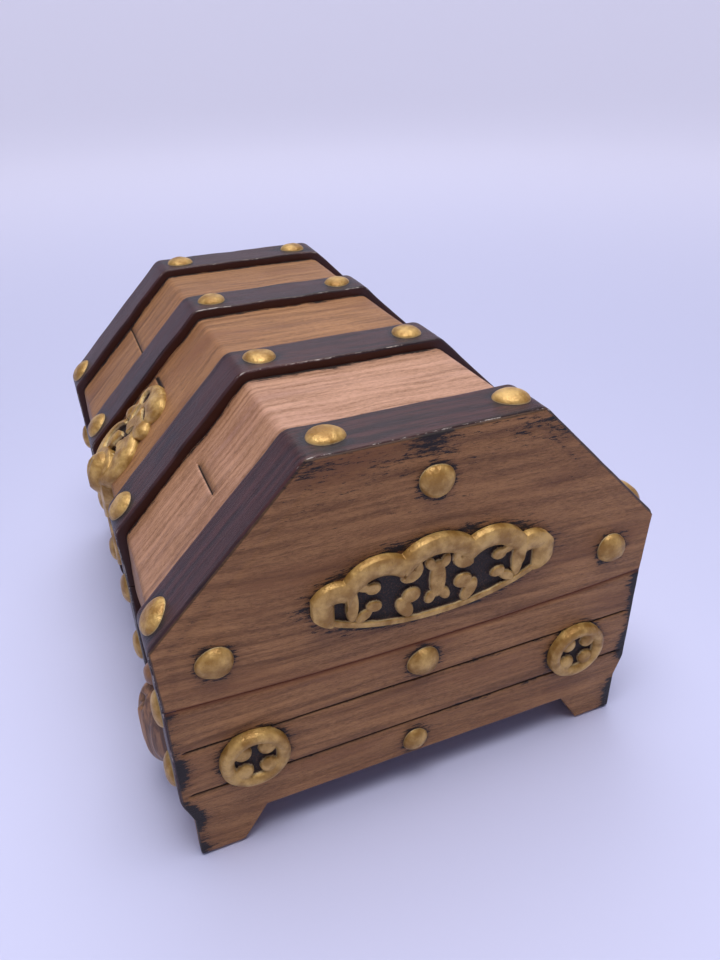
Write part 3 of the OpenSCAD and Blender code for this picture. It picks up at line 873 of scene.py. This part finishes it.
def strap(name, outer_corners, inner_corners, x, width, body, node, seed):
    """A raised strap with rounded, slightly wandering edges that follows a line in Y and Z."""
    fractions = shares(outer_corners, 1.6)
    outer_line = path(outer_corners, 2.2, fractions)
    inner_line = path(inner_corners, 1.0, fractions)
    edge = np.array([0, 0.08, 0.22, 0.42, 0.7, 1.1, 1.7])
    across = np.concatenate([edge, np.linspace(2.8, width - 2.8, 8), width - edge[::-1]])
    distance = np.minimum(across, width - across)
    along_grid, across_grid = np.meshgrid(run_length(outer_line), across, indexing="ij")
    spots = xyz(along_grid, across_grid, np.full_like(along_grid, seed * 17.0))
    x_grid = x - width / 2 + across_grid
    wander = 0.35 * noise(spots * (1, 0.04, 1), 9, seed) * smooth(END_X - np.abs(x_grid), 1, 4)
    x_grid = x_grid + wander * (2 * across_grid / width - 1)
    inner = sweep(inner_line, x_grid)
    sink = (fillet(distance, 0.7) / STRAP_T)[None, :, None]
    outer = sweep(outer_line, x_grid) * (1 - sink) + inner * sink
    lift = 0.14 * noise(spots, 8, seed + 5) + 0.05 * noise(spots * (0.4, 1, 1), 1.6, seed + 9)
    outer = outer + unit(outer - inner) * lift[..., None]
    attributes = {
        "grain": xyz(along_grid, across_grid, np.full_like(along_grid, seed * 23.0)),
        # Paint wear along the edges together with a painted highlight line.
        "edge": strap_wear_and_highlight(outer[..., 2], across_grid, width),
        "side": 0.5 * np.repeat((distance < 0.05)[None], len(along_grid), axis=0),
        "grime_and_shade": stud_soot(outer, body, x),
    }
    add_sheet(name, outer, inner, body, "strap_paint", [node], attributes)


def straps():
    """Four lid straps and the eight base straps below them. The outer ones are widened to the ends."""
    lid_outside = lid_corners(0, LID_Z, SHOULDER_Y - SEAM_Y)
    lid_inside = lid_corners(STRAP_T + TUCK, LID_Z)
    base_outside = [(CORE_Y, STRAP_FOOT_Z), (SEAM_Y, STRAP_FOOT_Z + BEVEL_H), (SEAM_Y, SEAM_Z)]
    base_inside = [(CORE_Y - 0.5, z) for _, z in base_outside]
    for i, x in enumerate(STRAP_X, start=1):
        low, high = cad_box(f"lid_strap_{i}")
        width = high[0] - low[0]
        if i in (1, 4):
            spare = END_X - 0.5 - max(-low[0], high[0])
            width += spare
            x += math.copysign(spare / 2, x)
        strap(f"lid_band_{i}", lid_outside, lid_inside, x, width, "lid", f"lid_strap_{i}", i)
        for sy, where in ((-1, "front"), (1, "back")):
            lines = [[(sy * y, z) for y, z in line] for line in (base_outside, base_inside)]
            seed = 10 + 2 * i + (sy > 0)
            strap(f"base_band_{where}_{i}", *lines, x, width, "base", f"base_strap_{where}_{i}", seed)


# ---- gold ornaments ----

def outward(point):
    """Axes (across, up, out) of the face that a point on the outside lies on."""
    x, y, z = point
    if abs(x) > END_X - 1:
        return end_axes(math.copysign(1, x))
    if z > TOP_Z - 1:
        return (1, 0, 0), (0, 1, 0), (0, 0, 1)
    side = math.copysign(1, y)
    if z > SHOULDER_Z + 1:
        run, rise = math.cos(SLOPE), math.sin(SLOPE)
        return (1, 0, 0), (0, -side * run, rise), (0, side * rise, run)
    return (1, 0, 0), (0, 0, 1), (0, side, 0)


STUD_PROFILE = [         # share of the radius, share of the height
    (0.12, 1.0), (0.3, 0.97), (0.5, 0.88), (0.68, 0.74), (0.82, 0.55), (0.92, 0.36), (0.98, 0.16),
    (1.01, -0.05), (1.01, -0.35),
]


def stud(island, seed):
    """A cast dome, not quite round, on the spot of a CAD stud. Those on the straps are flatter."""
    centre = (island.min(axis=0) + island.max(axis=0)) / 2
    across, up, out = (np.array(axis, dtype=float) for axis in outward(centre))
    low, high = (island @ out).min(), (island @ out).max()
    radius = np.ptp(island @ across) / 2
    foot = centre + out * (low - centre @ out)
    on_strap = abs(out[0]) < 0.5
    height = (0.62 if on_strap else 0.85) * (high - low)
    angles = circle(40)
    wobble = 1 + 0.035 * np.sin(2 * angles + seed) + 0.03 * np.sin(3 * angles + 2.1 * seed)
    rings = []
    for share, rise in STUD_PROFILE:
        level = ring(share * radius * wobble, rise * height, len(angles))
        level[:, 2] += 0.12 * noise(level + seed * 7, 2.2, seed) * (share < 0.95)
        rings.append(level)
    points, faces = closed_dome(np.array(rings))
    foot_line = 0.75 * smooth(-points[:, 2], -0.14 * height, 0.1 * height)
    return place(points, foot, across, up, out), faces, {"pit": foot_line}


def studs():
    """All the domes of each body in one piece, as in the CAD."""
    for body in ("lid", "base"):
        node = f"{body}_studs"
        domes = [stud(island, seed) for seed, island in enumerate(cad_islands(node), start=1)]
        points, faces, attributes = merge(domes)
        add_piece(f"{body}_domes", points, faces, body, "gold_paint", [node], attributes, CAST_CREASE)


def rosette(sx, sy):
    """A round boss with four lobes inside a thick rim and a dark cross between them."""
    node = f"rosette_{side_name(sx)}_{'front' if sy < 0 else 'back'}"
    low, high = cad_box(node)
    centre = (low + high) / 2
    radius = (high[1] - low[1]) / 2
    shares_out = np.concatenate([np.linspace(0.02, 0.97, 34), [0.99, 1.0, 1.0]])
    share, angle = np.meshgrid(shares_out, circle(120), indexing="ij")
    u, v = share * radius * np.cos(angle), share * radius * np.sin(angle)
    rise, pit = rosette_relief(u, v, radius, high[0] - low[0])
    rise[-2] = 0.1
    rise[-1] = -1.0
    points, faces = closed_dome(xyz(u, v, rise))
    points = place(points, (sx * END_X, centre[1], centre[2]), *end_axes(sx))
    attributes = {"pit": np.append(pit.ravel(), pit[0].mean())}
    add_piece(f"{node}_relief", points, faces, "base", "gold_paint", [node], attributes, CAST_CREASE)


def rosette_relief(u, v, radius, height):
    """Height and darkness of the rosette at u across and v up."""
    far = np.hypot(u, v)
    rim_at = radius - 1.9
    rim = height * (0.9 + 0.1 * v / radius) * bump(far - rim_at, 2.3)
    lobes = np.zeros_like(u)
    for k in range(4):
        turn = math.pi / 4 + k * math.pi / 2
        lobe_u, lobe_v = 4.9 * math.cos(turn), 4.9 * math.sin(turn)
        lobes = np.maximum(lobes, 0.8 * height * bump(np.hypot(u - lobe_u, v - lobe_v), 2.65) ** 0.5)
    rise = np.maximum(np.maximum(rim, lobes), 0.35)
    pit = (1 - smooth(rise, 0.5, 1.5)) * smooth(rim_at + 1.0 - far, 0, 0.5)
    return rise, pit


def ellipse_bump(u, v, centre, half_u, half_v, turn=0.0):
    """Round bump of height 1 over an ellipse turned by an angle in degrees."""
    angle = math.radians(turn)
    du, dv = u - centre[0], v - centre[1]
    along = du * math.cos(angle) + dv * math.sin(angle)
    across = -du * math.sin(angle) + dv * math.cos(angle)
    return np.sqrt(np.clip(1 - (along / half_u) ** 2 - (across / half_v) ** 2, 0, 1))


def arc_bump(u, v, centre, radius, thick, start, end):
    """Round ridge along part of a circle, angles in degrees."""
    du, dv = u - centre[0], v - centre[1]
    angle = np.degrees(np.arctan2(dv, du)) % 360
    inside = ((angle - start) % 360) <= ((end - start) % 360)
    ridge = bump(np.hypot(du, dv) - radius, thick) * inside
    for stop in (start, end):
        tip = math.radians(stop)
        tip_u, tip_v = centre[0] + radius * math.cos(tip), centre[1] + radius * math.sin(tip)
        ridge = np.maximum(ridge, bump(np.hypot(u - tip_u, v - tip_v), thick))
    return ridge


PLATE_LOBES = [(0, 0, 15.0), (16.6, 0.6, 12.2), (29, 0.3, 7.6)]    # offset, height and radius


def plate_edges(u):
    """Lower and upper edge of the end plate at u along it."""
    top = np.zeros_like(u) + 0.6
    for offset, height, radius in PLATE_LOBES:
        for side in (-1, 1):
            gap = np.clip(1 - ((u - side * offset) / radius) ** 2, 0, 1)
            top = np.maximum(top, height + radius * np.sqrt(gap) * 0.98)
    half = 36.5
    bottom = 0.2 - 12.0 * np.sqrt(np.clip(1 - (u / half) ** 2, 0, 1)) ** 1.25
    return bottom, top


def mounds(u, v, shapes):
    """The highest of several bumps over ellipses, each with its own height."""
    return np.maximum.reduce([height * ellipse_bump(u, v, *shape) for height, *shape in shapes])


def packed(count, share):
    """Values from -1 to 1 that lie closer together near both ends."""
    even = np.linspace(-1, 1, count)
    return share * np.sin(even * math.pi / 2) + (1 - share) * even


def plateau(cover):
    """Flat-topped form from a round bump: full height inside, sloping only near its edge."""
    return smooth(cover, 0, 0.7)


END_SCROLLS = [          # height, middle, half width, half height and turn in degrees, on one half
    (1, (0, 0.4), 2.8, 6.8),             # stem in the middle
    (1, (2.2, 5.8), 1.6, 2.4, -25),      # its forks
    (1, (2.2, -5.0), 1.7, 2.4, 25),
    (1, (8.2, 4.4), 2.3, 1.9),           # upper curl's eye
    (1, (7.8, -2.6), 3.1, 2.7),          # lower curl
    (1, (9.8, -6.2), 2.4, 4.2, -30),
    (1, (11.6, 8.2), 1.9, 4.4, -15),     # leaf between the two windows
    (1, (18.8, 3.0), 2.5, 2.0),          # curls of the outer window
    (1, (21.6, 4.2), 2.6, 1.4, 20),
    (1, (18.6, -2.8), 2.6, 1.9, 15),
    (1, (21.6, -5.0), 3.0, 1.7, -30),
    (1, (24.8, -0.4), 2.1, 6.4),         # upright near the tip
]


def plate_relief(u, v, below, above):
    """Height and darkness of the end plate: a scalloped rim round pierced scrollwork."""
    rim_top = 3.1 * bump(above - 2.7, 3.9) ** 0.85
    rim_low = 1.8 * plateau(bump(below - 0.7, 1.3))
    mirrored = np.abs(u)
    upper_curl = arc_bump(mirrored, v, (8.3, 5.6), 2.7, 1.3, 30, 300)
    scroll = 1.9 * plateau(np.maximum(mounds(mirrored, v, END_SCROLLS), upper_curl))
    rise = np.maximum.reduce([rim_top, rim_low, scroll, np.full_like(u, 0.3)])
    inside = np.minimum(above, below)
    pit = (1 - smooth(rise, 0.5, 1.75)) * smooth(inside, 0.5, 1.2)
    return rise, pit


def end_plate(side):
    """The pierced plate on one end of the lid."""
    node = f"end_plate_{side_name(side)}"
    low, high = cad_box(node)
    half = (high[1] - low[1]) / 2 - 0.1
    columns = half * packed(301, 0.35)
    u, share = np.meshgrid(columns, np.linspace(0, 1, 105))
    bottom, top = plate_edges(columns)
    v = bottom + share * (top - bottom)
    to_tip = half - np.abs(u) + 0.2
    above = np.minimum((top - v) / np.sqrt(1 + np.gradient(top, columns) ** 2), to_tip)
    below = np.minimum((v - bottom) / np.sqrt(1 + np.gradient(bottom, columns) ** 2), to_tip)
    rise, pit = plate_relief(u, v, below, above)
    rise = np.where(np.minimum(above, below) < 0.02, -0.3, rise)
    origin = (side * (END_X - 0.3), (low[1] + high[1]) / 2, low[2] + 13)
    add_relief(f"{node}_relief", u, v, rise, pit, 1.2, origin, end_axes(side), "lid", node)


FRONT_LOBES = [(10.0, 14.2, 12.0), (23.2, 11.2, 4.8), (30.6, 10.4, 6.4)]    # place, half width, half height
FRONT_SPAN = (-2.0, 37.0)      # from the plate's foot to its head, up the slope
FRONT_MOUNDS = [         # height, middle, half width, half height and turn in degrees
    (3.4, (4.0, 31.6), 6.6, 4.8, 25),    # head
    (3.2, (7.2, 22.8), 4.2, 4.0),        # curls at the waist
    (3.1, (-8.0, 22.4), 3.2, 3.4),
    (3.3, (8.6, 12.0), 5.4, 6.0, -20),   # leaves of the lower lobe
    (3.4, (-3.4, 12.6), 2.6, 5.4, 25),
    (3.2, (1.6, 6.4), 2.6, 2.4),
    (3.0, (0, 25.6), 2.0, 3.6),          # stem
]
FRONT_HOLLOWS = [        # the same for what is carved out
    (1, (-4.0, 19.2), 1.7, 3.0, 20),
    (1, (3.0, 19.2), 1.5, 2.6, -20),
    (1, (-3.2, 24.8), 1.3, 3.0, 10),
    (1, (3.0, 27.0), 3.6, 1.2, -15),
]
FRONT_ARCS = [           # middle, radius, half width, and from and to which angle a groove runs
    ((-3.0, 12.2), 5.4, 1.4, 60, 250),
    ((1.4, 7.0), 3.9, 1.2, 330, 200),
    ((4.0, 12.6), 4.6, 1.3, 120, 215),
]


def front_plate_width(s):
    """Half width of the front plate at s up the slope."""
    width = np.zeros_like(s) + 0.4
    for middle, half, reach in FRONT_LOBES:
        width = np.maximum(width, half * np.sqrt(np.clip(1 - (np.abs(s - middle) / reach) ** 2.2, 0, 1)))
    neck = np.where((s > 8) & (s < 33), 8.6, 0)
    return np.maximum(width, neck)


def front_plate_relief(u, s, inside):
    """Height and darkness of the front plate: a smooth body with carved scrolls. u across, s up the slope."""
    body = 2.6 * bump(np.minimum(inside, 3.0) - 3.0, 3.2)
    rise = np.maximum(body, mounds(u, s, FRONT_MOUNDS))
    eye = bump(np.hypot(u + 4.2, s - 30.4), 2.7)
    arcs = [arc_bump(u, s, *arc) for arc in FRONT_ARCS]
    hollow = np.maximum.reduce([eye, mounds(u, s, FRONT_HOLLOWS), *arcs])
    return rise * (1 - 0.8 * smooth(hollow, 0, 0.6)), smooth(hollow, 0.05, 0.55)


def front_plate():
    """The carved plate on the front slope."""
    low, high = cad_box("front_plate")
    foot, head = FRONT_SPAN
    rows = np.linspace(foot, head, 130)
    width = front_plate_width(rows)
    share, s = np.meshgrid(packed(90, 0.3), rows)
    u = share * width[:, None]
    lean = np.sqrt(1 + np.gradient(width, rows) ** 2)[:, None]
    inside = np.minimum((width[:, None] - np.abs(u)) / lean, np.minimum(s - foot, head - s))
    rise, pit = front_plate_relief(u, s, inside)
    rise = np.where(inside < 0.02, -0.5, rise)
    up = np.array([0, math.cos(SLOPE), math.sin(SLOPE)])
    out = np.array([0, -math.sin(SLOPE), math.cos(SLOPE)])
    shoulder = np.array([(low[0] + high[0]) / 2 - 0.6, -SHOULDER_Y, SHOULDER_Z])
    origin = shoulder - STRAP_T * out - FRONT_PLATE_DROP * up
    add_relief("front_plate_relief", u, s, rise, pit, 1.2, origin, ((1, 0, 0), up, out), "lid", "front_plate")


def hasp():
    """A tongue down the lid's front from a slotted boss at the shoulder."""
    low, high = cad_box("hasp")
    corners = [(-LID_CORE_Y, low[2]), (-LID_CORE_Y, SHOULDER_Z - 1.2), (-LID_CORE_Y + 4.5, SHOULDER_Z + 3.4)]
    line = path(corners, 3.0, [np.linspace(0, 1, 60), np.linspace(0, 1, 20)])
    away = unit(np.gradient(line, axis=0))
    normal = np.stack([-away[:, 1], away[:, 0]], axis=-1)
    run = run_length(line)
    boss_at = run[-1] - 8.0
    width = 4.6 + 2.6 * smooth(run, 2, boss_at - 4) + 1.2 * bump(run - boss_at, 8)
    width = width * np.sqrt(np.clip(run / 2.0, 0.02, 1)) * np.sqrt(np.clip((run[-1] - run) / 3.0, 0.02, 1))
    share, length = np.meshgrid(np.linspace(-1, 1, 48), run)
    u = share * width[:, None]
    body = 2.6 + 1.0 * np.sqrt(np.clip(1 - share ** 2, 0, 1))
    boss = np.minimum(7.2 * bump(np.hypot(u, length - boss_at), 7.0), 6.4)
    slot = smooth(1.0 - np.abs(u) / 1.1, 0, 0.5) * smooth(3.2 - np.abs(length - boss_at), 0, 1)
    rise = np.where(np.abs(share) > 0.999, -0.4, np.maximum(body, boss) - 2.2 * slot)
    flat = sweep(line, (low[0] + high[0]) / 2 + u)
    out = np.concatenate([np.zeros((len(line), 1)), normal], axis=-1)[:, None]
    outer, inner = flat + out * rise[..., None], flat - out
    add_sheet("hasp_relief", outer, inner, "lid", "gold_paint", ["hasp"], {"pit": slot}, CAST_CREASE)


def lock_plate():
    """A shield below the joint with a keyhole and a raised border."""
    low, high = cad_box("lock_plate")
    rows = np.linspace(low[2], high[2], 70)
    from_foot = (rows - low[2]) / (high[2] - low[2])
    width = (high[0] - low[0]) / 2 * np.sqrt(np.clip(1 - (1 - from_foot) ** 2.4, 0.001, 1))
    share, z = np.meshgrid(np.linspace(-1, 1, 70), rows)
    u = share * width[:, None]
    inside = np.minimum(width[:, None] - np.abs(u), np.minimum(z - low[2], high[2] - z))
    key_eye = bump(np.hypot(u, z - low[2] - 11), 2.1)
    key_slot = (np.abs(u) < 0.9) * (np.abs(z - low[2] - 7.5) < 3.2)
    key = np.maximum(key_eye, key_slot)
    border = 2.3 + 1.4 * bump(inside - 1.4, 1.4)
    rise = np.where(inside < 0.02, -0.4, border - 1.6 * smooth(key, 0, 0.4))
    origin = ((low[0] + high[0]) / 2, -CORE_Y, 0)
    pit = smooth(key, 0, 0.5)
    add_relief("lock_plate_relief", u, z, rise, pit, 1.0, origin, FRONT_AXES, "base", "lock_plate")


def handle_part(u, v, rise, pit, edge, shift, origin):
    """One dome of the handle. shift moves its brush strokes against those of the other."""
    rise[-1] = -1.0
    points, faces = closed_dome(xyz(u, v, rise))
    attributes = {
        "grain": points[:, [1, 0, 2]] + shift,
        "pit": np.append(pit.ravel(), 0),
        "edge": np.full(len(points), edge),
    }
    return place(points, origin, *FRONT_AXES), faces, attributes


def handle():
    """A fluted drop that hangs from a rounded knob, cast in one piece with the front."""
    low, high = cad_box("handle")
    middle_x = (low[0] + high[0]) / 2
    depth = -CORE_Y - low[1]
    drop_half, knob_half = 17.0, 3.6
    shares_out = np.concatenate([np.linspace(0.03, 0.96, 30), [1.0, 1.0]])
    share, angle = np.meshgrid(shares_out, circle(96), indexing="ij")
    u = share * 8.0 * np.cos(angle) * (1 - 0.22 * np.sin(angle))
    v = share * drop_half * np.sin(angle)
    flutes = 0.55 * np.cos(u * 1.9) * (1 - share ** 4)
    dimple = smooth(3.2 - np.hypot(u, v - 10.0), 0, 2.0)
    rise = (depth - 0.8) * np.sqrt(np.clip(1 - share ** 3.2, 0, 1)) + flutes - 3.0 * dimple
    pit = np.maximum(dimple, 0.5 * smooth(-flutes, 0.1, 0.6))
    drop = handle_part(u, v, rise, pit, 0.0, 40, (middle_x, -CORE_Y, low[2] + drop_half))
    u = share * 4.2 * np.cos(angle)
    v = share * knob_half * np.sin(angle)
    rise = (depth - 4.2) * np.sqrt(np.clip(1 - share ** 3, 0, 1))
    knob = handle_part(u, v, rise, np.zeros_like(u), 0.8, 0, (middle_x, -CORE_Y, high[2] - knob_half - 0.4))
    points, faces, attributes = merge([drop, knob])
    add_piece("handle_drop", points, faces, "base", "handle_paint", ["handle"], attributes, CAST_CREASE)


# ---- treasure ----

COIN_PROFILE = [         # share of the radius, share of the thickness
    (0.3, 0.72), (0.72, 0.72), (0.8, 1.0), (0.94, 1.0), (1.0, 0.8), (1.0, 0.2), (0.95, 0),
]
GEM_PROFILE = [(0.5, 1.0), (0.86, 0.72), (1.0, 0.5), (1.0, 0.42), (0.62, 0.0)]    # table, crown and girdle


def heap_height(radius, rise, ball):
    """Height of the heap, a slice of a ball, at this distance from its middle."""
    return rise - ball + math.sqrt(ball * ball - radius * radius)


def heap_core(reach, rise, ball):
    """The solid heap under the coins, open in the middle for the bubbles."""
    radii = [*np.linspace(7, reach - 2, 16), reach - 2.6]
    levels = [(radius, max(heap_height(radius, rise, ball) - 1.8, 0.1)) for radius in radii]
    levels.append((reach * 0.95, 0.0))
    outer = np.array([ring(radius, height, 72) for radius, height in levels])
    outer[..., 2] += 0.4 * noise(outer, 5, 21)
    outer = np.concatenate([outer, outer[:, :1]], axis=1)
    inner = outer.copy()
    inner[..., 2] = -0.4
    return closed_sheet(outer, inner)


def loose_coin(reach, rise, ball, layer, random):
    """A plain coin with a raised rim, lying askew somewhere on the heap."""
    radius = 10 + (reach - 16) * math.sqrt(random.random())
    angle = random.random() * 2 * math.pi
    points, faces = turned(COIN_PROFILE, random.uniform(3.6, 5.2), 1.1, 28)
    tilt_x = Matrix.Rotation(random.uniform(-0.25, 0.25), 3, "X")
    tilt_y = Matrix.Rotation(random.uniform(-0.25, 0.25), 3, "Y")
    lean = Matrix.Rotation(radius / ball, 3, Vector((-math.sin(angle), math.cos(angle), 0)))
    points = points @ np.array(lean @ (tilt_x @ tilt_y)).T
    height = heap_height(radius, rise, ball) - 2.0 + layer
    return points + (radius * math.cos(angle), radius * math.sin(angle), height), faces


def coins():
    """Loose coins in two layers over a low heap, leaving the vent free."""
    low, high = cad_box("coin_heap")
    reach, rise = (high[0] - low[0]) / 2, high[2] - low[2]
    ball = (reach * reach + rise * rise) / (2 * rise)
    random = np.random.default_rng(11)
    shapes = [heap_core(reach, rise, ball)]
    for layer, count in ((0.0, 120), (0.9, 70)):
        shapes += [loose_coin(reach, rise, ball, layer, random) for _ in range(count)]
    plain = [(points + (0, 0, low[2]), faces, {}) for points, faces in shapes]
    points, faces, attributes = merge(plain)
    add_piece("coins", points, faces, "base", "coin_paint", ["coin_heap"], attributes, shade=35)


def gems():
    """Six-sided stones with a step cut."""
    stones = []
    for island in cad_islands("gems"):
        low, high = island.min(axis=0), island.max(axis=0)
        points, faces = turned(GEM_PROFILE, (high[0] - low[0]) / 2, high[2] - low[2], 6)
        foot = ((low[0] + high[0]) / 2, (low[1] + high[1]) / 2, low[2])
        stones.append((points + foot, faces, {}))
    points, faces, attributes = merge(stones)
    add_piece("cut_gems", points, faces, "base", "gem_plastic", ["gems"], attributes, shade=10)


# ---- stage ----

def camera():
    """The photograph's view: from above the front right corner, near the chest."""
    eye = Vector((0.24436, -0.07963, 0.20893))
    look = Vector((-0.79912, 0.32168, -0.50787))
    roll = Matrix.Rotation(math.radians(-1.4), 4, "Z")
    made = bpy.data.objects.new("camera", bpy.data.cameras.new("camera"))
    bpy.context.collection.objects.link(made)
    made.data.lens = 29.63
    made.data.sensor_width = 36
    made.data.clip_start = 0.01
    made.matrix_world = Matrix.Translation(eye) @ look.to_track_quat("-Z", "Y").to_matrix().to_4x4() @ roll
    bpy.context.scene.camera = made


def light(name, kind, at, towards, power, colour, **settings):
    """A light of some kind that shines from one point towards another."""
    data = bpy.data.lights.new(name, kind)
    data.energy = power
    data.color = colour
    for key, value in settings.items():
        setattr(data, key, value)
    made = bpy.data.objects.new(name, data)
    bpy.context.collection.objects.link(made)
    made.location = at
    made.rotation_euler = (Vector(towards) - Vector(at)).to_track_quat("-Z", "Y").to_euler()


def floor_paper():
    """A pale paper floor that rises slowly far away, so that it fills the view. Its colour is painted lighter
    away from the chest.
    """
    radii = np.concatenate([np.linspace(0.02, 1, 12), np.linspace(1.4, 9, 20)])
    angles = np.linspace(0, 2 * math.pi, 65)
    radius, angle = np.meshgrid(radii, angles, indexing="ij")
    rise = 0.022 * np.maximum(radius - 1, 0) ** 2 + 0.16 * np.maximum(radius - 5, 0) ** 2
    grid = xyz(radius * np.cos(angle), radius * np.sin(angle), rise)
    mesh = bpy.data.meshes.new("floor")
    centre = len(radii) * len(angles)
    faces = quads(*radius.shape).tolist() + [[k, k + 1, centre] for k in range(len(angles) - 1)]
    mesh.from_pydata(grid.reshape(-1, 3).tolist() + [(0, 0, 0)], [], faces)
    mesh.shade_smooth()
    floor = bpy.data.objects.new("floor", mesh)
    bpy.context.collection.objects.link(floor)
    paper = Paint("paper", 0.6)
    spot = paper.add("ShaderNodeTexCoord", {}, "Object")
    # Painted light and shade: the paper is darker near the chest and lighter far off, in place of even light
    # out to the horizon.
    far = paper.step(paper.add("ShaderNodeVectorMath", {0: spot}, "Value", operation="LENGTH"), 0.15, 1.3)
    paper.finish(paper.mix(far, rgb(200, 202, 232), rgb(236, 234, 255)))
    mesh.materials.append(paper.material)


def stage():
    """Paper floor, an even overhead light, a wide soft window, a small lamp near by and a pale surround."""
    floor_paper()
    world = bpy.data.worlds.new("surround")
    world.use_nodes = True
    background = world.node_tree.nodes["Background"]
    background.inputs["Color"].default_value = rgb(196, 198, 240)
    background.inputs["Strength"].default_value = 0.16
    bpy.context.scene.world = world
    light("overhead", "SUN", (0, 0, 0), (0.08, -0.03, -1), 1.88, (0.97, 0.97, 1.0), angle=math.radians(64))
    light("window", "AREA", (-0.75, 0.3, 1.0), (0, 0, 0.05), 2.6, (0.93, 0.95, 1.0), size=0.8)
    light("lamp", "AREA", (0.14, -0.04, 0.48), (0.06, 0, 0.1), 0.95, (1.0, 0.97, 0.95), size=0.2)
    bpy.context.scene.view_settings.view_transform = "Standard"


def carried_over():
    """Finishes for the CAD nodes that keep their own shape."""
    finishes = {
        "hinge_plastic": ["hinge_leaf_base_left", "hinge_leaf_base_right",
                          "hinge_leaf_lid_left", "hinge_leaf_lid_right"],
        "pin_brass": ["hinge_pin_left", "hinge_pin_right"],
        "grommet_rubber": ["inlet_grommet"],
        "inlet_plastic": ["air_inlet"],
        "tube_silicone": ["air_tube"],
        "nipple_plastic": ["stone_nipple"],
        "stone_mineral": ["air_stone"],
        "tray_plastic": ["stone_cradle", "treasure_tray", "tray_posts"],
        "pearl_plastic": ["pearls"],
    }
    for slot, names in finishes.items():
        for name in names:
            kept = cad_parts[name]
            kept.data.materials.clear()
            kept.data.materials.append(PAINTS[slot])


lid_boards()
base_walls()
base_feet()
straps()
studs()
for side in (-1, 1):
    lid_end(side)
    base_end(side)
    end_plate(side)
    for along_side in (-1, 1):
        rosette(side, along_side)
front_plate()
hasp()
lock_plate()
handle()
coins()
gems()
carried_over()
stage()
camera()
